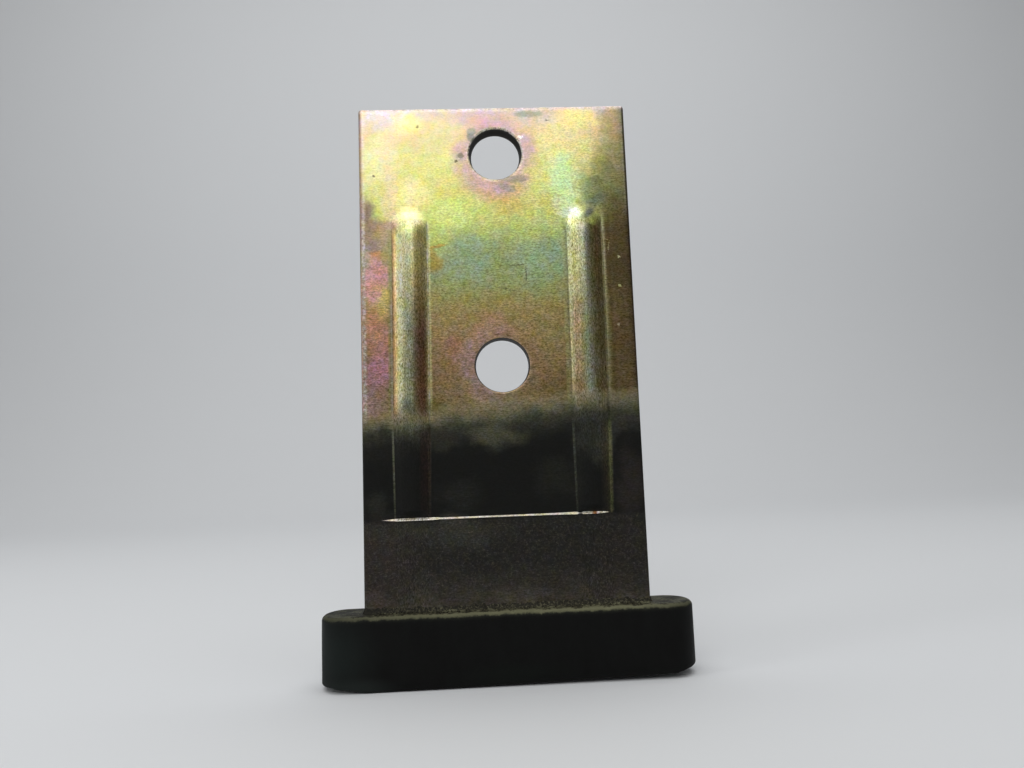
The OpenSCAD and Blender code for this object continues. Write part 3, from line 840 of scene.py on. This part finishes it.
for side_mask, stops in ((at_left, foot_left), (at_right, foot_right)):
    here = node(tree, "ShaderNodeMath", {0: side_mask, 1: in_darkening}, operation="MULTIPLY")
    paint, _ = laid(tree, paint, across_rib, stops, here)
print("nodes in the zinc:", len(tree.nodes))

# %% [markdown]
# Below the step the dark part is dusty and scuffed, and lighter towards the shoe and at the left.

# %% Zinc: dust below the step
dusty = node(tree, "ShaderNodeMapRange", {"Value": z, "From Min": -47.6, "From Max": -48.3})
dust_down = [
    (-64, "#4e493f", 1), (-62.6, "#454037", 1), (-60.5, "#322f29", 1), (-56, "#1e1d19", 1),
    (-48, "#1f1e1a", 1)]
dust_clouds = [
    ("#2f2925", -24, -54, 11, 9, 0, 0.9), ("#2e2f29", -9, -50.5, 8, 4, 0, 0.9),
    ("#2a261f", 4, -59.5, 10, 2.0, 0, 0.45), ("#241f1b", 20, -54, 7, 8, 0, 0.6),
    ("#35342c", -14, -49.8, 19, 2.4, 0, 0.55), ("#4b423a", -24, -61.3, 5, 3, 0, 0.6),
    ("#464338", 4, -61.4, 5, 2.4, 0, 0.6), ("#2b2721", 19, -61, 8, 2.4, 0, 0.6),
    ("#605c4a", 4.5, -63.3, 5, 1.2, 0, 0.6)]
paint, _ = laid(tree, paint, drifting_z, dust_down, dusty)
paint = spotted(tree, paint, drifting, 0.8, through, dust_clouds)
scuffs = node(tree, "ShaderNodeTexNoise", {"Vector": mm, "Scale": 2.6, "Detail": 4.0, "Roughness": 0.85})
scuffs = node(tree, "ShaderNodeMapRange", {"Value": scuffs, "From Min": 0.5, "From Max": 0.75, "To Max": 0.22})
scuffs = node(tree, "ShaderNodeMath", {0: scuffs, 1: dusty}, operation="MULTIPLY")
paint = node(tree, "ShaderNodeMix", {"Factor": scuffs, "A": paint, "B": colour("#8c8474")}, data_type="RGBA")
print("nodes in the zinc:", len(tree.nodes))

# %% [markdown]
# The step's edge carries a painted highlight, where its riser faces the light: broad at the left, thin in
# the middle and broken once near its right end, with a trace of rust. Colour and width both change along
# it, so one ramp holds them, with the width in place of the alpha.

# %% Zinc: the bright step
step_highlight, rust, line_z, half_width, line_edge = "#f2e8d4", "#c88850", -47.6, 0.26, 0.06
line_stops = [
    (step_left, step_highlight, 0), (-21.4, step_highlight, 0.45), (-19.6, step_highlight, 0.95), (-13.4, step_highlight, 0.95),
    (-12.0, step_highlight, 0.62), (0.0, step_highlight, 0.55), (8.0, step_highlight, 0.62), (11.0, step_highlight, 0.8), (12.6, step_highlight, 0.85),
    (12.9, step_highlight, 0.25), (13.3, step_highlight, 0.25), (13.7, step_highlight, 0.9), (15.2, step_highlight, 0.9), (15.6, rust, 0.85),
    (16.0, rust, 0.85), (16.3, step_highlight, 0.8), (17.6, step_highlight, 0.55), (step_right, step_highlight, 0)]
low, high = line_stops[0][0], line_stops[-1][0]
along = node(tree, "ShaderNodeMapRange", {"Value": x, "From Min": low, "From Max": high})
line_colour, line_width = node(tree, "ShaderNodeValToRGB", {"Fac": along},
                               stops=[((u - low) / (high - low), c, w) for u, c, w in line_stops]).outputs
off_line = node(tree, "ShaderNodeMath", {0: z, 1: -line_z})
off_line = node(tree, "ShaderNodeMath", {0: off_line}, operation="ABSOLUTE")
off_line = node(tree, "ShaderNodeMath", {0: line_width, 1: -half_width, 2: off_line}, operation="MULTIPLY_ADD")
line = node(tree, "ShaderNodeMapRange", {"Value": off_line, "From Min": 0.0, "From Max": -line_edge})
paint = node(tree, "ShaderNodeMix", {"Factor": line, "A": paint, "B": line_colour}, data_type="RGBA")
print("the bright line is up to", 2 * half_width, "mm wide")

# %% [markdown]
# Inside the holes the torn wall is painted nearly black, as painted shade. It could be a second material
# on those faces, but a mask keeps the rim's edge soft.

# %% Zinc: hole walls
wall_shade, wall_r = "#15110b", (5.3, 5.22)
deep = node(tree, "ShaderNodeMapRange", {"Value": y, "From Min": -2.35, "From Max": -2.15})
inside = node(tree, "ShaderNodeMapRange", {"Value": from_hole, "From Min": wall_r[0], "From Max": wall_r[1]})
before_back = node(tree, "ShaderNodeMath", {0: y, 1: -0.04}, operation="LESS_THAN")
wall = node(tree, "ShaderNodeMath", {0: deep, 1: inside}, operation="MULTIPLY")
wall = node(tree, "ShaderNodeMath", {0: wall, 1: before_back}, operation="MULTIPLY")
paint = node(tree, "ShaderNodeMix", {"Factor": wall, "A": paint, "B": colour(wall_shade)}, data_type="RGBA")
print("nodes in the zinc:", len(tree.nodes))

# %% [markdown]
# The dark lower part, the painted shade in the hole walls and thick oxide on the upper hole's rim aren't
# metallic, so one value says how bare of metal shine each place is. The bright line, a painted highlight,
# is partly metal.

# %% Zinc: where it isn't metallic
rim = node(tree, "ShaderNodeMapRange", {"Value": from_hole, "From Min": 5.4, "From Max": 5.3, "To Max": 0.75})
rim = node(tree, "ShaderNodeMath", {0: rim, 1: masks["washer"]}, operation="MULTIPLY")
bare = node(tree, "ShaderNodeMix", {"Factor": line, "A": darkening, "B": 0.6})
bare = node(tree, "ShaderNodeMath", {0: bare, 1: wall}, operation="MAXIMUM")
bare = node(tree, "ShaderNodeMath", {0: bare, 1: rim}, operation="MAXIMUM")
print("nodes in the zinc:", len(tree.nodes))

# %% [markdown]
# Last comes the grain. Zinc crystals are far smaller than a pixel, so they are drawn at a third of a
# millimetre, as coarse as needs to show. Two noises are drawn out: sideways on the flat, where the plate
# slid against the door, and lengthwise on the ribs.

# %% Zinc: noises of the grain
mottle = node(tree, "ShaderNodeTexNoise",
              {"Vector": mm, "Scale": 0.5, "Detail": 4.0, "Roughness": 0.65}).outputs["Color"]
on_rib = node(tree, "ShaderNodeMath", {0: across_rib}, operation="ABSOLUTE")
on_rib = node(tree, "ShaderNodeMath", {0: on_rib, 1: 3.3}, operation="LESS_THAN")
below_top = node(tree, "ShaderNodeMath", {0: z, 1: 7.5}, operation="LESS_THAN")
on_rib = node(tree, "ShaderNodeMath", {0: on_rib, 1: below_top}, operation="MULTIPLY")
noises = []
for on_flat, on_ribs, scale, detail in (((0.22, 1.0, 2.6), (2.6, 1.0, 0.22), 1.2, 3.0),
                                        ((0.7, 1.0, 1.5), (1.5, 1.0, 0.8), 2.9, 2.0)):
    stretch = node(tree, "ShaderNodeMix", {"Factor": on_rib, "A": on_flat, "B": on_ribs}, data_type="VECTOR")
    drawn_out = node(tree, "ShaderNodeVectorMath", {0: mm, 1: stretch}, operation="MULTIPLY")
    noises.append(node(tree, "ShaderNodeTexNoise",
                       {"Vector": drawn_out, "Scale": scale, "Detail": detail, "Roughness": 0.8}))
streak, grain = noises
print("nodes in the zinc:", len(tree.nodes))

# %% [markdown]
# The crystals and streaks only change how light the metal is, less at the upper left, where the film is
# thick and calm. The film's tint changes slowly, over two millimetres and mostly between yellow and blue.

# %% Zinc: strength of the grain
calm = node(tree, "ShaderNodeMath", {0: drifting_x, 1: -0.6, 2: drifting_z}, operation="MULTIPLY_ADD")
calm = node(tree, "ShaderNodeMapRange", {"Value": calm, "From Min": -4.0, "From Max": 34.0,
                                         "To Min": 1.05, "To Max": 0.42})
strong = node(tree, "ShaderNodeMath", {0: on_rib, 1: 0.4, 2: calm}, operation="MULTIPLY_ADD")
for noise, amounts, strength in ((grain, (2.3, 2.3, 3.0), strong), (streak, (0.9, 0.9, 1.1), strong),
                                 (mottle, (0.6, 0.3, 1.6), 1.0)):
    away = node(tree, "ShaderNodeVectorMath", {0: noise, 1: (0.5, 0.5, 0.5)}, operation="SUBTRACT")
    away = node(tree, "ShaderNodeVectorMath", {0: away, 1: amounts}, operation="MULTIPLY")
    away = node(tree, "ShaderNodeVectorMath", {0: away, "Scale": strength}, operation="SCALE")
    paint = node(tree, "ShaderNodeVectorMath", {0: paint, 1: away, 2: paint}, operation="MULTIPLY_ADD")
print("nodes in the zinc:", len(tree.nodes))

# %% [markdown]
# Passivated zinc is semi-gloss: its crystals scatter a reflection, which the roughness gives, and their
# relief is a few hundredths of a millimetre at most, which is left to the bump. Where metal shine is
# missing, the surface is rougher too.

# %% Zinc: roughness, shine and bump
rough = node(tree, "ShaderNodeMapRange", {"Value": grain, "From Min": 0.3, "From Max": 0.7,
                                          "To Min": 0.33, "To Max": 0.45})
rough = node(tree, "ShaderNodeMix", {"Factor": bare, "A": rough, "B": 0.55})
metal = node(tree, "ShaderNodeMapRange", {"Value": bare, "To Min": 1.0, "To Max": 0.1})
relief = node(tree, "ShaderNodeMath", {0: streak, 1: 0.5, 2: grain}, operation="MULTIPLY_ADD")
bump = node(tree, "ShaderNodeBump", {"Height": relief, "Strength": 0.5, "Distance": 0.03 * MM})
shader = node(tree, "ShaderNodeBsdfPrincipled", {"Base Color": paint, "Metallic": metal, "Roughness": rough,
                                                 "Normal": bump, "Specular IOR Level": 0.2})
node(tree, "ShaderNodeOutputMaterial", {"Surface": shader})
print("nodes in the zinc:", len(tree.nodes))

# %% [markdown]
# The blank goes through the press and comes out as the plate. It stands in for the imported plate, so it
# rides the same body, and the imported node is hidden.

# %% The pressed plate
plate = run_nodes(blank, press, "pressed_plate", {**press_sizes, "Material": zinc})
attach(plate, "root")
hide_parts("mounting_plate")

# %% [markdown]
# ## The rubber shoe
# The shoe is moulded round the plate's end: half-round ends, a rounded top edge, and an underside worn
# down by years in the sill groove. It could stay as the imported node, but that one has a knife-sharp lower
# edge and perfectly flat faces. Here it is lofted from rows of points, row by row from the slot for the
# tongue over the top, down the wall and under the bottom. Point k of a row mirrors point -k, so each end
# row can be closed straight across.

# %% Sizes of the shoe and the line of its wall
shoe_left, shoe_right, shoe_middle_y = -33.4, 32.6, -1.25
shoe_t, shoe_h, shoe_wear = 9.0, 12.62, 0.82
round_top, round_low = 1.0, 0.4


def stadium(inset):
    """Points round the shoe seen from above, drawn in by inset, from the right tip round by the back."""
    r, turn = shoe_t / 2 - inset, shoe_t / 2
    right, left = shoe_right - turn, shoe_left + turn
    a = np.radians(np.linspace(0, 90, 17))
    half = [(right + r * math.cos(t), r * math.sin(t)) for t in a]
    half += [(x, r) for x in np.linspace(right, left, 115)[1:-1]]
    half += [(left - r * math.cos(t), r * math.sin(t)) for t in a[::-1]]
    return [(x, shoe_middle_y + y) for x, y in half] + [(x, shoe_middle_y - y) for x, y in half[-2:0:-1]]


print("points in a row of the shoe:", len(stadium(0)))

# %% [markdown]
# The slot's rows have to have as many points as the wall's. Along the plate each point lies straight
# inwards from its neighbour on the wall, and those of the round ends share out the slot's short sides.

# %% The slot's line
slot_gap, end_share = 0.02, 0.5


def slot_ring(widen):
    """The slot's rectangle with one point for each point of the stadium."""
    ring = []
    low, high = plate_left - slot_gap - widen, plate_right + slot_gap + widen
    half = plate_t / 2 + slot_gap + widen
    for x, y in stadium(0):
        beyond = np.interp(x, [shoe_left, low + end_share, high - end_share, shoe_right], [1, 0, 0, 1])
        side = math.copysign(1, y - shoe_middle_y) if y != shoe_middle_y else 0
        if x > high - end_share or x < low + end_share:
            ring.append((high if x > 0 else low, shoe_middle_y + side * half * max(0.0, 1 - beyond)))
        else:
            ring.append((x, shoe_middle_y + side * half))
    return ring


print("the slot is", round(np.ptp([x for x, y in slot_ring(0)]), 2), "mm long")

# %% [markdown]
# The underside is worn: a long slope that is deepest near the left end, with a turned-up toe at each end.

# %% The worn underside
low_line = [(shoe_left, 11.7), (shoe_left + 2.4, 11.72), (shoe_left + 4.8, 12.0), (shoe_left + 8.2, shoe_h),
            (shoe_right - 4.6, shoe_h - shoe_wear), (shoe_right - 2.4, 11.3), (shoe_right, 10.9)]


def underside(x):
    """Height of the worn underside above the shoe's top, so a number below zero."""
    return -np.interp(x, *zip(*low_line))


left_h, right_h = -underside(shoe_left + 8), -underside(shoe_right - 4)
print(f"the shoe is {left_h:.2f} mm high near its left end and {right_h:.2f} mm near its right end")

# %% [markdown]
# A loft joins each row to the next with quads. The same function makes the lip later, as a ring whose
# last row joins its first. Tried on two triangles, it gives a prism.

# %% Lofting
def loft(rows, ring=False):
    """Vertices and faces of a skin over rows of points, closed across both ends or, as a ring, onto itself."""
    count = len(rows[0])
    verts = [tuple(p) for row in rows for p in row]
    faces = []
    for r in range(len(rows) if ring else len(rows) - 1):
        a, b = r * count, (r + 1) % len(rows) * count
        faces += [(a + k, a + (k + 1) % count, b + (k + 1) % count, b + k) for k in range(count)]
    for first in () if ring else (0, (len(rows) - 1) * count):
        for k in range(count // 2):
            corners = dict.fromkeys((k, k + 1, count - k - 1, -k % count))
            faces.append(tuple(first + c for c in corners))
    return verts, faces


prism = loft([[(0, 0, z), (1, 0, z), (0, 1, z)] for z in (0, 1)])
print("a prism has", len(prism[0]), "corners and", len(prism[1]), "faces")

# %% [markdown]
# The rows run from the bottom of the slot up to its mouth, across the top face, round the top edge, down
# the wall to the worn underside, round the low edge and in under the bottom.

# %% Loft of the shoe
mouth = 0.08
rows = [[(x, y, plate_bottom - slot_gap) for x, y in slot_ring(0)]]
for widen, drop in ((0, 0.25), (0, mouth), (mouth, 0)):
    rows.append([(x, y, shoe_top - drop) for x, y in slot_ring(widen)])
outer, inner = stadium(round_top), slot_ring(mouth)
for t in (0.12, 0.4, 0.7, 0.9):
    rows.append([(a[0] + t * (b[0] - a[0]), a[1] + t * (b[1] - a[1]), shoe_top) for a, b in zip(inner, outer)])
for a in np.radians(range(0, 91, 10)):
    drop = round_top * (1 - math.cos(a))
    rows.append([(x, y, shoe_top - drop) for x, y in stadium(round_top * (1 - math.sin(a)))])
for t in np.linspace(0, 1, 22)[1:-1]:
    rows.append([(x, y, shoe_top - round_top + t * (underside(x) + round_top + round_low))
                 for x, y in stadium(0)])
for a in np.radians(range(0, 91, 18)):
    rows.append([(x, y, shoe_top + underside(x) + round_low * (1 - math.sin(a)))
                 for x, y in stadium(round_low * (1 - math.cos(a)))])
for inset in (0.9, 2.0, 3.2, 4.2):
    rows.append([(x, y, shoe_top + underside(x)) for x, y in stadium(inset)])
shoe_block = closed_mesh("shoe_block", *loft(rows))

# %% [markdown]
# Moulded rubber is never quite flat: it shrinks unevenly as it cools and wears in the groove. A small
# Geometry Nodes tree pushes any mesh inwards along its normals by a noise, here by up to 0.06 mm. Inwards
# only, because the shoe has to keep its size.

# %% A tool that makes rubber uneven
uneven, size = new_tree("uneven_rubber", ("Depth", "Grain"))
place = node(uneven, "GeometryNodeInputPosition")
mm = node(uneven, "ShaderNodeVectorMath", {0: place, "Scale": 1 / MM}, operation="SCALE")
lumps = node(uneven, "ShaderNodeTexNoise",
             {"Vector": mm, "Scale": size["Grain"], "Detail": 2.0, "Roughness": 0.6})
sink = node(uneven, "ShaderNodeMath", {0: lumps, 1: size["Depth"]}, operation="MULTIPLY")
sink = node(uneven, "ShaderNodeMath", {0: sink, 1: -MM}, operation="MULTIPLY")
normal = node(uneven, "GeometryNodeInputNormal")
offset = node(uneven, "ShaderNodeVectorMath", {0: normal, "Scale": sink}, operation="SCALE")
moved = node(uneven, "GeometryNodeSetPosition", {"Geometry": size["Geometry"], "Offset": offset})
end_tree(uneven, moved, size["Material"])

# %% [markdown]
# ## The shoe's finish: moulded black rubber
# Black rubber reflects about 4 percent like any plastic, but softly, because its skin copies the mould's
# fine matt surface. What the eye gets is the dirt and a painted sheen: a painted sheen lightens the left
# end, a band low along the front is lighter too, olive dust is rubbed into the rounded top edge, pale grit
# lies on the top face and faint smears run down the front. First the rubber itself.

# %% Rubber: smears and a painted sheen
rubber, tree, mm = new_material("moulded_rubber")
x, y, z = node(tree, "ShaderNodeSeparateXYZ", {0: mm}).outputs
tall = node(tree, "ShaderNodeVectorMath", {0: mm, 1: (1.0, 1.0, 0.35)}, operation="MULTIPLY")
smear = node(tree, "ShaderNodeTexNoise", {"Vector": tall, "Scale": 0.35, "Detail": 4.0, "Roughness": 0.6})
paint = node(tree, "ShaderNodeValToRGB", {"Fac": smear}, stops=[(0.35, "#080807", 1), (0.65, "#0e0f0e", 1)])
lighter_spots = [
    ("#1a201e", -31, -70, 10, 10, 0, 0.95), ("#222725", -27, -75.5, 9, 2.6, 0, 0.85),
    ("#0f1410", 0, -74, 13, 2.6, 0, 0.6)]
paint = spotted(tree, paint, mm, 0.9, through, lighter_spots)
print("nodes in the rubber:", len(tree.nodes))

# %% [markdown]
# The dust is laid by depth below the top face. Two noises fray that depth: a slow one up or down by less
# than half a millimetre, and a fine one by up to half a millimetre more. The band fades towards the round
# ends and at the left.

# %% Rubber: dust on the top edge
depth = node(tree, "ShaderNodeMath", {0: shoe_top, 1: z}, operation="SUBTRACT")
patchy = node(tree, "ShaderNodeTexNoise", {"Vector": mm, "Scale": 0.5, "Detail": 5.0, "Roughness": 0.65})
frayed = node(tree, "ShaderNodeMapRange", {"Value": patchy, "To Min": -0.45, "To Max": 0.45}, clamp=False)
frayed = node(tree, "ShaderNodeMath", {0: depth, 1: frayed})
fine = node(tree, "ShaderNodeTexNoise", {"Vector": mm, "Scale": 2.6, "Detail": 3.0, "Roughness": 0.75})
frayed = node(tree, "ShaderNodeMath", {0: fine, 1: 0.5, 2: frayed}, operation="MULTIPLY_ADD")
dust_band = [
    (-0.6, "#24221b", 0.9), (0.25, "#302e24", 0.9), (0.38, "#7c7c60", 0.9), (0.7, "#6c6c52", 0.85),
    (0.95, "#2c2e24", 0.5), (1.5, "#181a16", 0)]
from_end = node(tree, "ShaderNodeMath", {0: x}, operation="ABSOLUTE")
from_end = node(tree, "ShaderNodeMapRange", {"Value": from_end, "From Min": 20.0, "From Max": 31.0,
                                             "To Min": 1.0, "To Max": 0.45})
leftward = node(tree, "ShaderNodeMapRange", {"Value": x, "From Min": -18.0, "From Max": 2.0, "To Min": 0.72})
from_end = node(tree, "ShaderNodeMath", {0: from_end, 1: leftward}, operation="MULTIPLY")
paint, _ = laid(tree, paint, frayed, dust_band, from_end)
print("nodes in the rubber:", len(tree.nodes))

# %% [markdown]
# Grit lies on the top face only. The same fine noise picks its grains, and it is what the bump reads too.

# %% Rubber: grit, roughness and bump
grit = node(tree, "ShaderNodeMapRange", {"Value": fine, "From Min": 0.5, "From Max": 0.66})
on_top = node(tree, "ShaderNodeMapRange", {"Value": depth, "From Min": 0.5, "From Max": 0.05, "To Max": 0.75})
off_end = node(tree, "ShaderNodeMapRange", {"Value": from_end, "From Min": 0.5, "From Max": 0.8,
                                            "To Min": 0.15})
on_top = node(tree, "ShaderNodeMath", {0: on_top, 1: off_end}, operation="MULTIPLY")
grit = node(tree, "ShaderNodeMath", {0: grit, 1: on_top}, operation="MULTIPLY")
paint = node(tree, "ShaderNodeMix", {"Factor": grit, "A": paint, "B": colour("#726e56")}, data_type="RGBA")
rough = node(tree, "ShaderNodeMapRange", {"Value": smear, "From Min": 0.3, "From Max": 0.7,
                                          "To Min": 0.5, "To Max": 0.68})
bump = node(tree, "ShaderNodeBump", {"Height": fine, "Strength": 0.4, "Distance": 0.05 * MM})
shader = node(tree, "ShaderNodeBsdfPrincipled", {"Base Color": paint, "Roughness": rough, "Normal": bump,
                                                 "Specular IOR Level": 0.12})
node(tree, "ShaderNodeOutputMaterial", {"Surface": shader})
print("nodes in the rubber:", len(tree.nodes))

# %% [markdown]
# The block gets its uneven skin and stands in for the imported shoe.

# %% The moulded shoe
shoe = run_nodes(shoe_block, uneven, "moulded_shoe", {"Depth": 0.06, "Grain": 0.25, "Material": rubber})
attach(shoe, "root")
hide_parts("slider_shoe")

# %% [markdown]
# ## Flash and crumbs
# Where the mould's two halves closed on the plate, some rubber crept up it and was torn off by hand. What
# is left is a thin ragged lip all round the plate and crumbs on the shoe's top. The lip is a ring lofted
# round the plate. Random heights, smoothed over their neighbours, make it ragged, and then the same tool
# as the shoe's makes its skin uneven.

# %% The lip
lip_corner, lip_spacing, lip_lowest, lip_range, lip_thinnest, lip_thicker = 0.3, 0.22, 0.45, 0.75, 0.7, 0.5
ring, outward = rounded_rectangle(plate_left, plate_right, -plate_t, 0, lip_corner, 6, lip_spacing)
chance = np.random.default_rng(11)
ragged = chance.uniform(0, 1, len(ring))
for width in (2, 5):
    smoothed = np.convolve(np.tile(ragged, 3), np.ones(width) / width, "same")[len(ring):2 * len(ring)]
    ragged = 0.5 * ragged + 0.5 * smoothed
ragged = lip_lowest + lip_range * ragged
lip_profile = [(-0.15, -0.3), (0.5, -0.3), (0.46, 0.02), (0.28, 0.22), (0.16, 0.55), (0.06, 0.9), (-0.15, 1.0)]
rows = []
for out, up in lip_profile:
    lift = up * ragged if up > 0 else np.full(len(ring), up)
    spread = out * (lip_thinnest + lip_thicker * ragged) if out > 0 else np.full(len(ring), out)
    rows.append([(x + s * nx, y + s * ny, shoe_top + h)
                 for (x, y), (nx, ny), s, h in zip(ring, outward, spread, lift)])
lip = closed_mesh("lip", *loft(rows, ring=True))
flash = run_nodes(lip, uneven, "rubber_flash", {"Depth": 0.12, "Grain": 1.6, "Material": rubber})
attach(flash, "root")

# %% [markdown]
# Crumbs are scattered by Geometry Nodes: points at random on the strip of the shoe's top in front of the
# plate, denser in some places than in others, and on each point a small lump, turned and scaled at random.
# The seeds are fixed, so it is the same each time.

# %% Crumb scatter: points and lumps
scatter, size = new_tree("crumb_scatter", ("Crumbs per mm2", "Radius", "Dents"))
place = node(scatter, "GeometryNodeInputPosition")
mm = node(scatter, "ShaderNodeVectorMath", {0: place, "Scale": 1 / MM}, operation="SCALE")
clumps = node(scatter, "ShaderNodeTexNoise", {"Vector": mm, "Scale": 0.4, "Detail": 2.0})
clumps = node(scatter, "ShaderNodeMapRange", {"Value": clumps, "From Min": 0.4, "From Max": 0.6,
                                              "To Min": 0.2, "To Max": 1.8})
density = node(scatter, "ShaderNodeMath", {0: size["Crumbs per mm2"], 1: clumps}, operation="MULTIPLY")
density = node(scatter, "ShaderNodeMath", {0: density, 1: 1 / MM ** 2}, operation="MULTIPLY")
points = node(scatter, "GeometryNodeDistributePointsOnFaces",
              {"Mesh": size["Geometry"], "Density": density, "Seed": 4})
radius = node(scatter, "ShaderNodeMath", {0: size["Radius"], 1: MM}, operation="MULTIPLY")
lump = node(scatter, "GeometryNodeMeshIcoSphere", {"Radius": radius, "Subdivisions": 2})
full_turn = (6.28, 6.28, 6.28)
turn = node(scatter, "FunctionNodeRandomValue", {0: (0, 0, 0), 1: full_turn, "Seed": 1},
            data_type="FLOAT_VECTOR")
scale = node(scatter, "FunctionNodeRandomValue", {0: (0.4, 0.4, 0.3), 1: (1.7, 1.3, 1.2), "Seed": 2},
             data_type="FLOAT_VECTOR")
crumbs = node(scatter, "GeometryNodeInstanceOnPoints",
              {"Points": points, "Instance": lump, "Rotation": turn, "Scale": scale})
print("nodes in the scatter:", len(scatter.nodes))

# %% [markdown]
# Then each lump is dented by a noise. The instances are made real first, because only then does each
# have points of its own, and so no two look alike.

# %% Crumb scatter: dents
real = node(scatter, "GeometryNodeRealizeInstances", {0: crumbs})
dents = node(scatter, "ShaderNodeTexNoise", {"Vector": mm, "Scale": 5.0, "Detail": 1.0}).outputs["Color"]
dents = node(scatter, "ShaderNodeVectorMath", {0: dents, 1: (0.5, 0.5, 0.5)}, operation="SUBTRACT")
dents = node(scatter, "ShaderNodeVectorMath", {0: dents, "Scale": size["Dents"]}, operation="SCALE")
dents = node(scatter, "ShaderNodeVectorMath", {0: dents, "Scale": MM}, operation="SCALE")
dented = node(scatter, "GeometryNodeSetPosition", {"Geometry": real, "Offset": dents})
end_tree(scatter, dented, size["Material"])

# %% [markdown]
# The strip they fall on is a plain mesh a little above the shoe's top. It is used up by the tree.

# %% The crumbs
strip = bpy.data.meshes.new("strip")
strip_x, strip_y, strip_z = np.linspace(plate_left + 1.5, plate_right - 0.5, 40), (-4.6, -2.75), shoe_top + 0.03
strip.from_pydata([(x * MM, y * MM, strip_z * MM) for x in strip_x for y in strip_y], [],
                  [(2 * k, 2 * k + 2, 2 * k + 3, 2 * k + 1) for k in range(len(strip_x) - 1)])
strip_object = bpy.data.objects.new("strip", strip)
bpy.context.collection.objects.link(strip_object)
crumbs = run_nodes(strip_object, scatter, "rubber_crumbs",
                   {"Crumbs per mm2": 1.7, "Radius": 0.15, "Dents": 0.2, "Material": rubber})
crumbs.data.shade_smooth()
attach(crumbs, "root")

# %% [markdown]
# ## Floor, light and camera
# The slider stands on a pale sweep, a floor that curves up into a backdrop, as in a photographer's
# studio. A floor and a wall would show the line where they meet.

# %% Stage
stage_colour = bpy.data.materials.new("pale_stage")
stage_colour.use_nodes = True
stage_shader = stage_colour.node_tree.nodes["Principled BSDF"]
for socket, value in (("Base Color", colour("#e6e8ea")), ("Roughness", 0.9), ("Specular IOR Level", 0.2)):
    stage_shader.inputs[socket].default_value = value

floor_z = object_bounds()[0].z
front_y, bend_y, bend_r, wall_top, stage_half = -1.2, 0.35, 0.25, 1.2, 1.6
profile = [(front_y, floor_z), (bend_y, floor_z)]
profile += [(bend_y + bend_r * math.sin(a), floor_z + bend_r - bend_r * math.cos(a))
            for a in np.radians(range(10, 91, 10))]
profile += [(bend_y + bend_r, wall_top)]
mesh = bpy.data.meshes.new("sweep")
mesh.from_pydata([(x, y, z) for y, z in profile for x in (-stage_half, stage_half)], [],
                 [(2 * k, 2 * k + 1, 2 * k + 3, 2 * k + 2) for k in range(len(profile) - 1)])
mesh.materials.append(stage_colour)
mesh.shade_smooth()
sweep = bpy.data.objects.new("sweep", mesh)
bpy.context.collection.objects.link(sweep)
sweep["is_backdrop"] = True
print(f"the floor lies at {floor_z / MM:.2f} mm")

# %% [markdown]
# The room's light is even and weak, and four soft lamps do the rest. The plate mirrors them, so their
# size and place matter as much as their power: the key lights the front from above, the side lamp gives
# the ribs their bright left flanks, the top lamp lights the floor, and the last one the backdrop.

# %% World and lamps
world = bpy.data.worlds.new("studio")
bpy.context.scene.world = world
world.use_nodes = True
world.node_tree.nodes["Background"].inputs["Color"].default_value = colour("#ffffff")
world.node_tree.nodes["Background"].inputs["Strength"].default_value = 0.18


def lamp(name, place, aim, size, power):
    """A rectangular soft lamp at a place, aimed at another, in metres and watts."""
    data = bpy.data.lights.new(name, "AREA")
    data.shape, data.size, data.size_y, data.energy = "RECTANGLE", size[0], size[1], power
    made = bpy.data.objects.new(name, data)
    made.location = place
    made.rotation_euler = (Vector(aim) - Vector(place)).to_track_quat("-Z", "Y").to_euler()
    bpy.context.collection.objects.link(made)
    print(f"{name}: {power} W from {size[0]} by {size[1]} m")


lamp("key", (-0.08, -0.42, 0.32), (0, 0, 0), (0.46, 0.24), 0.85)
lamp("side", (-0.42, -0.16, 0.09), (0, 0, -0.02), (0.10, 0.30), 0.27)
lamp("top", (0.0, -0.05, 0.75), (0, 0, 0), (0.9, 0.6), 2.8)
lamp("backdrop", (0.0, 0.10, 0.55), (0, 0.6, 0.25), (1.2, 0.2), 0.7)

# %% [markdown]
# The camera stands close, with a wide lens, a little below the slider's middle, and looks slightly up. Its
# place was worked out from where the plate's corners and holes lie in the picture.

# %% Camera
camera = bpy.data.objects.new("camera", bpy.data.cameras.new("camera"))
bpy.context.collection.objects.link(camera)
camera.data.lens = 24.61
camera.data.clip_start, camera.data.clip_end = 0.01, 20
camera.location = (-0.00346, -0.12993, -0.03780)
camera.rotation_euler = [math.radians(a) for a in (96.249, 2.069, -2.055)]
bpy.context.scene.camera = camera
bpy.context.scene.view_settings.view_transform = "Standard"
print(f"the camera is {-camera.location.y / MM:.0f} mm from the plate")

# %% [markdown]
# Last, the finished model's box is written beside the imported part's, so that the two can be compared. The
# shoe's worn underside, the rubber's skin and the ribs stay within it.

# %% Sizes and finish
low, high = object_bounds()
room = [round(v / MM, 3) for v in (*(low - cad_low), *(cad_high - high))]
print("room left in the packed part's box, in mm:", room)
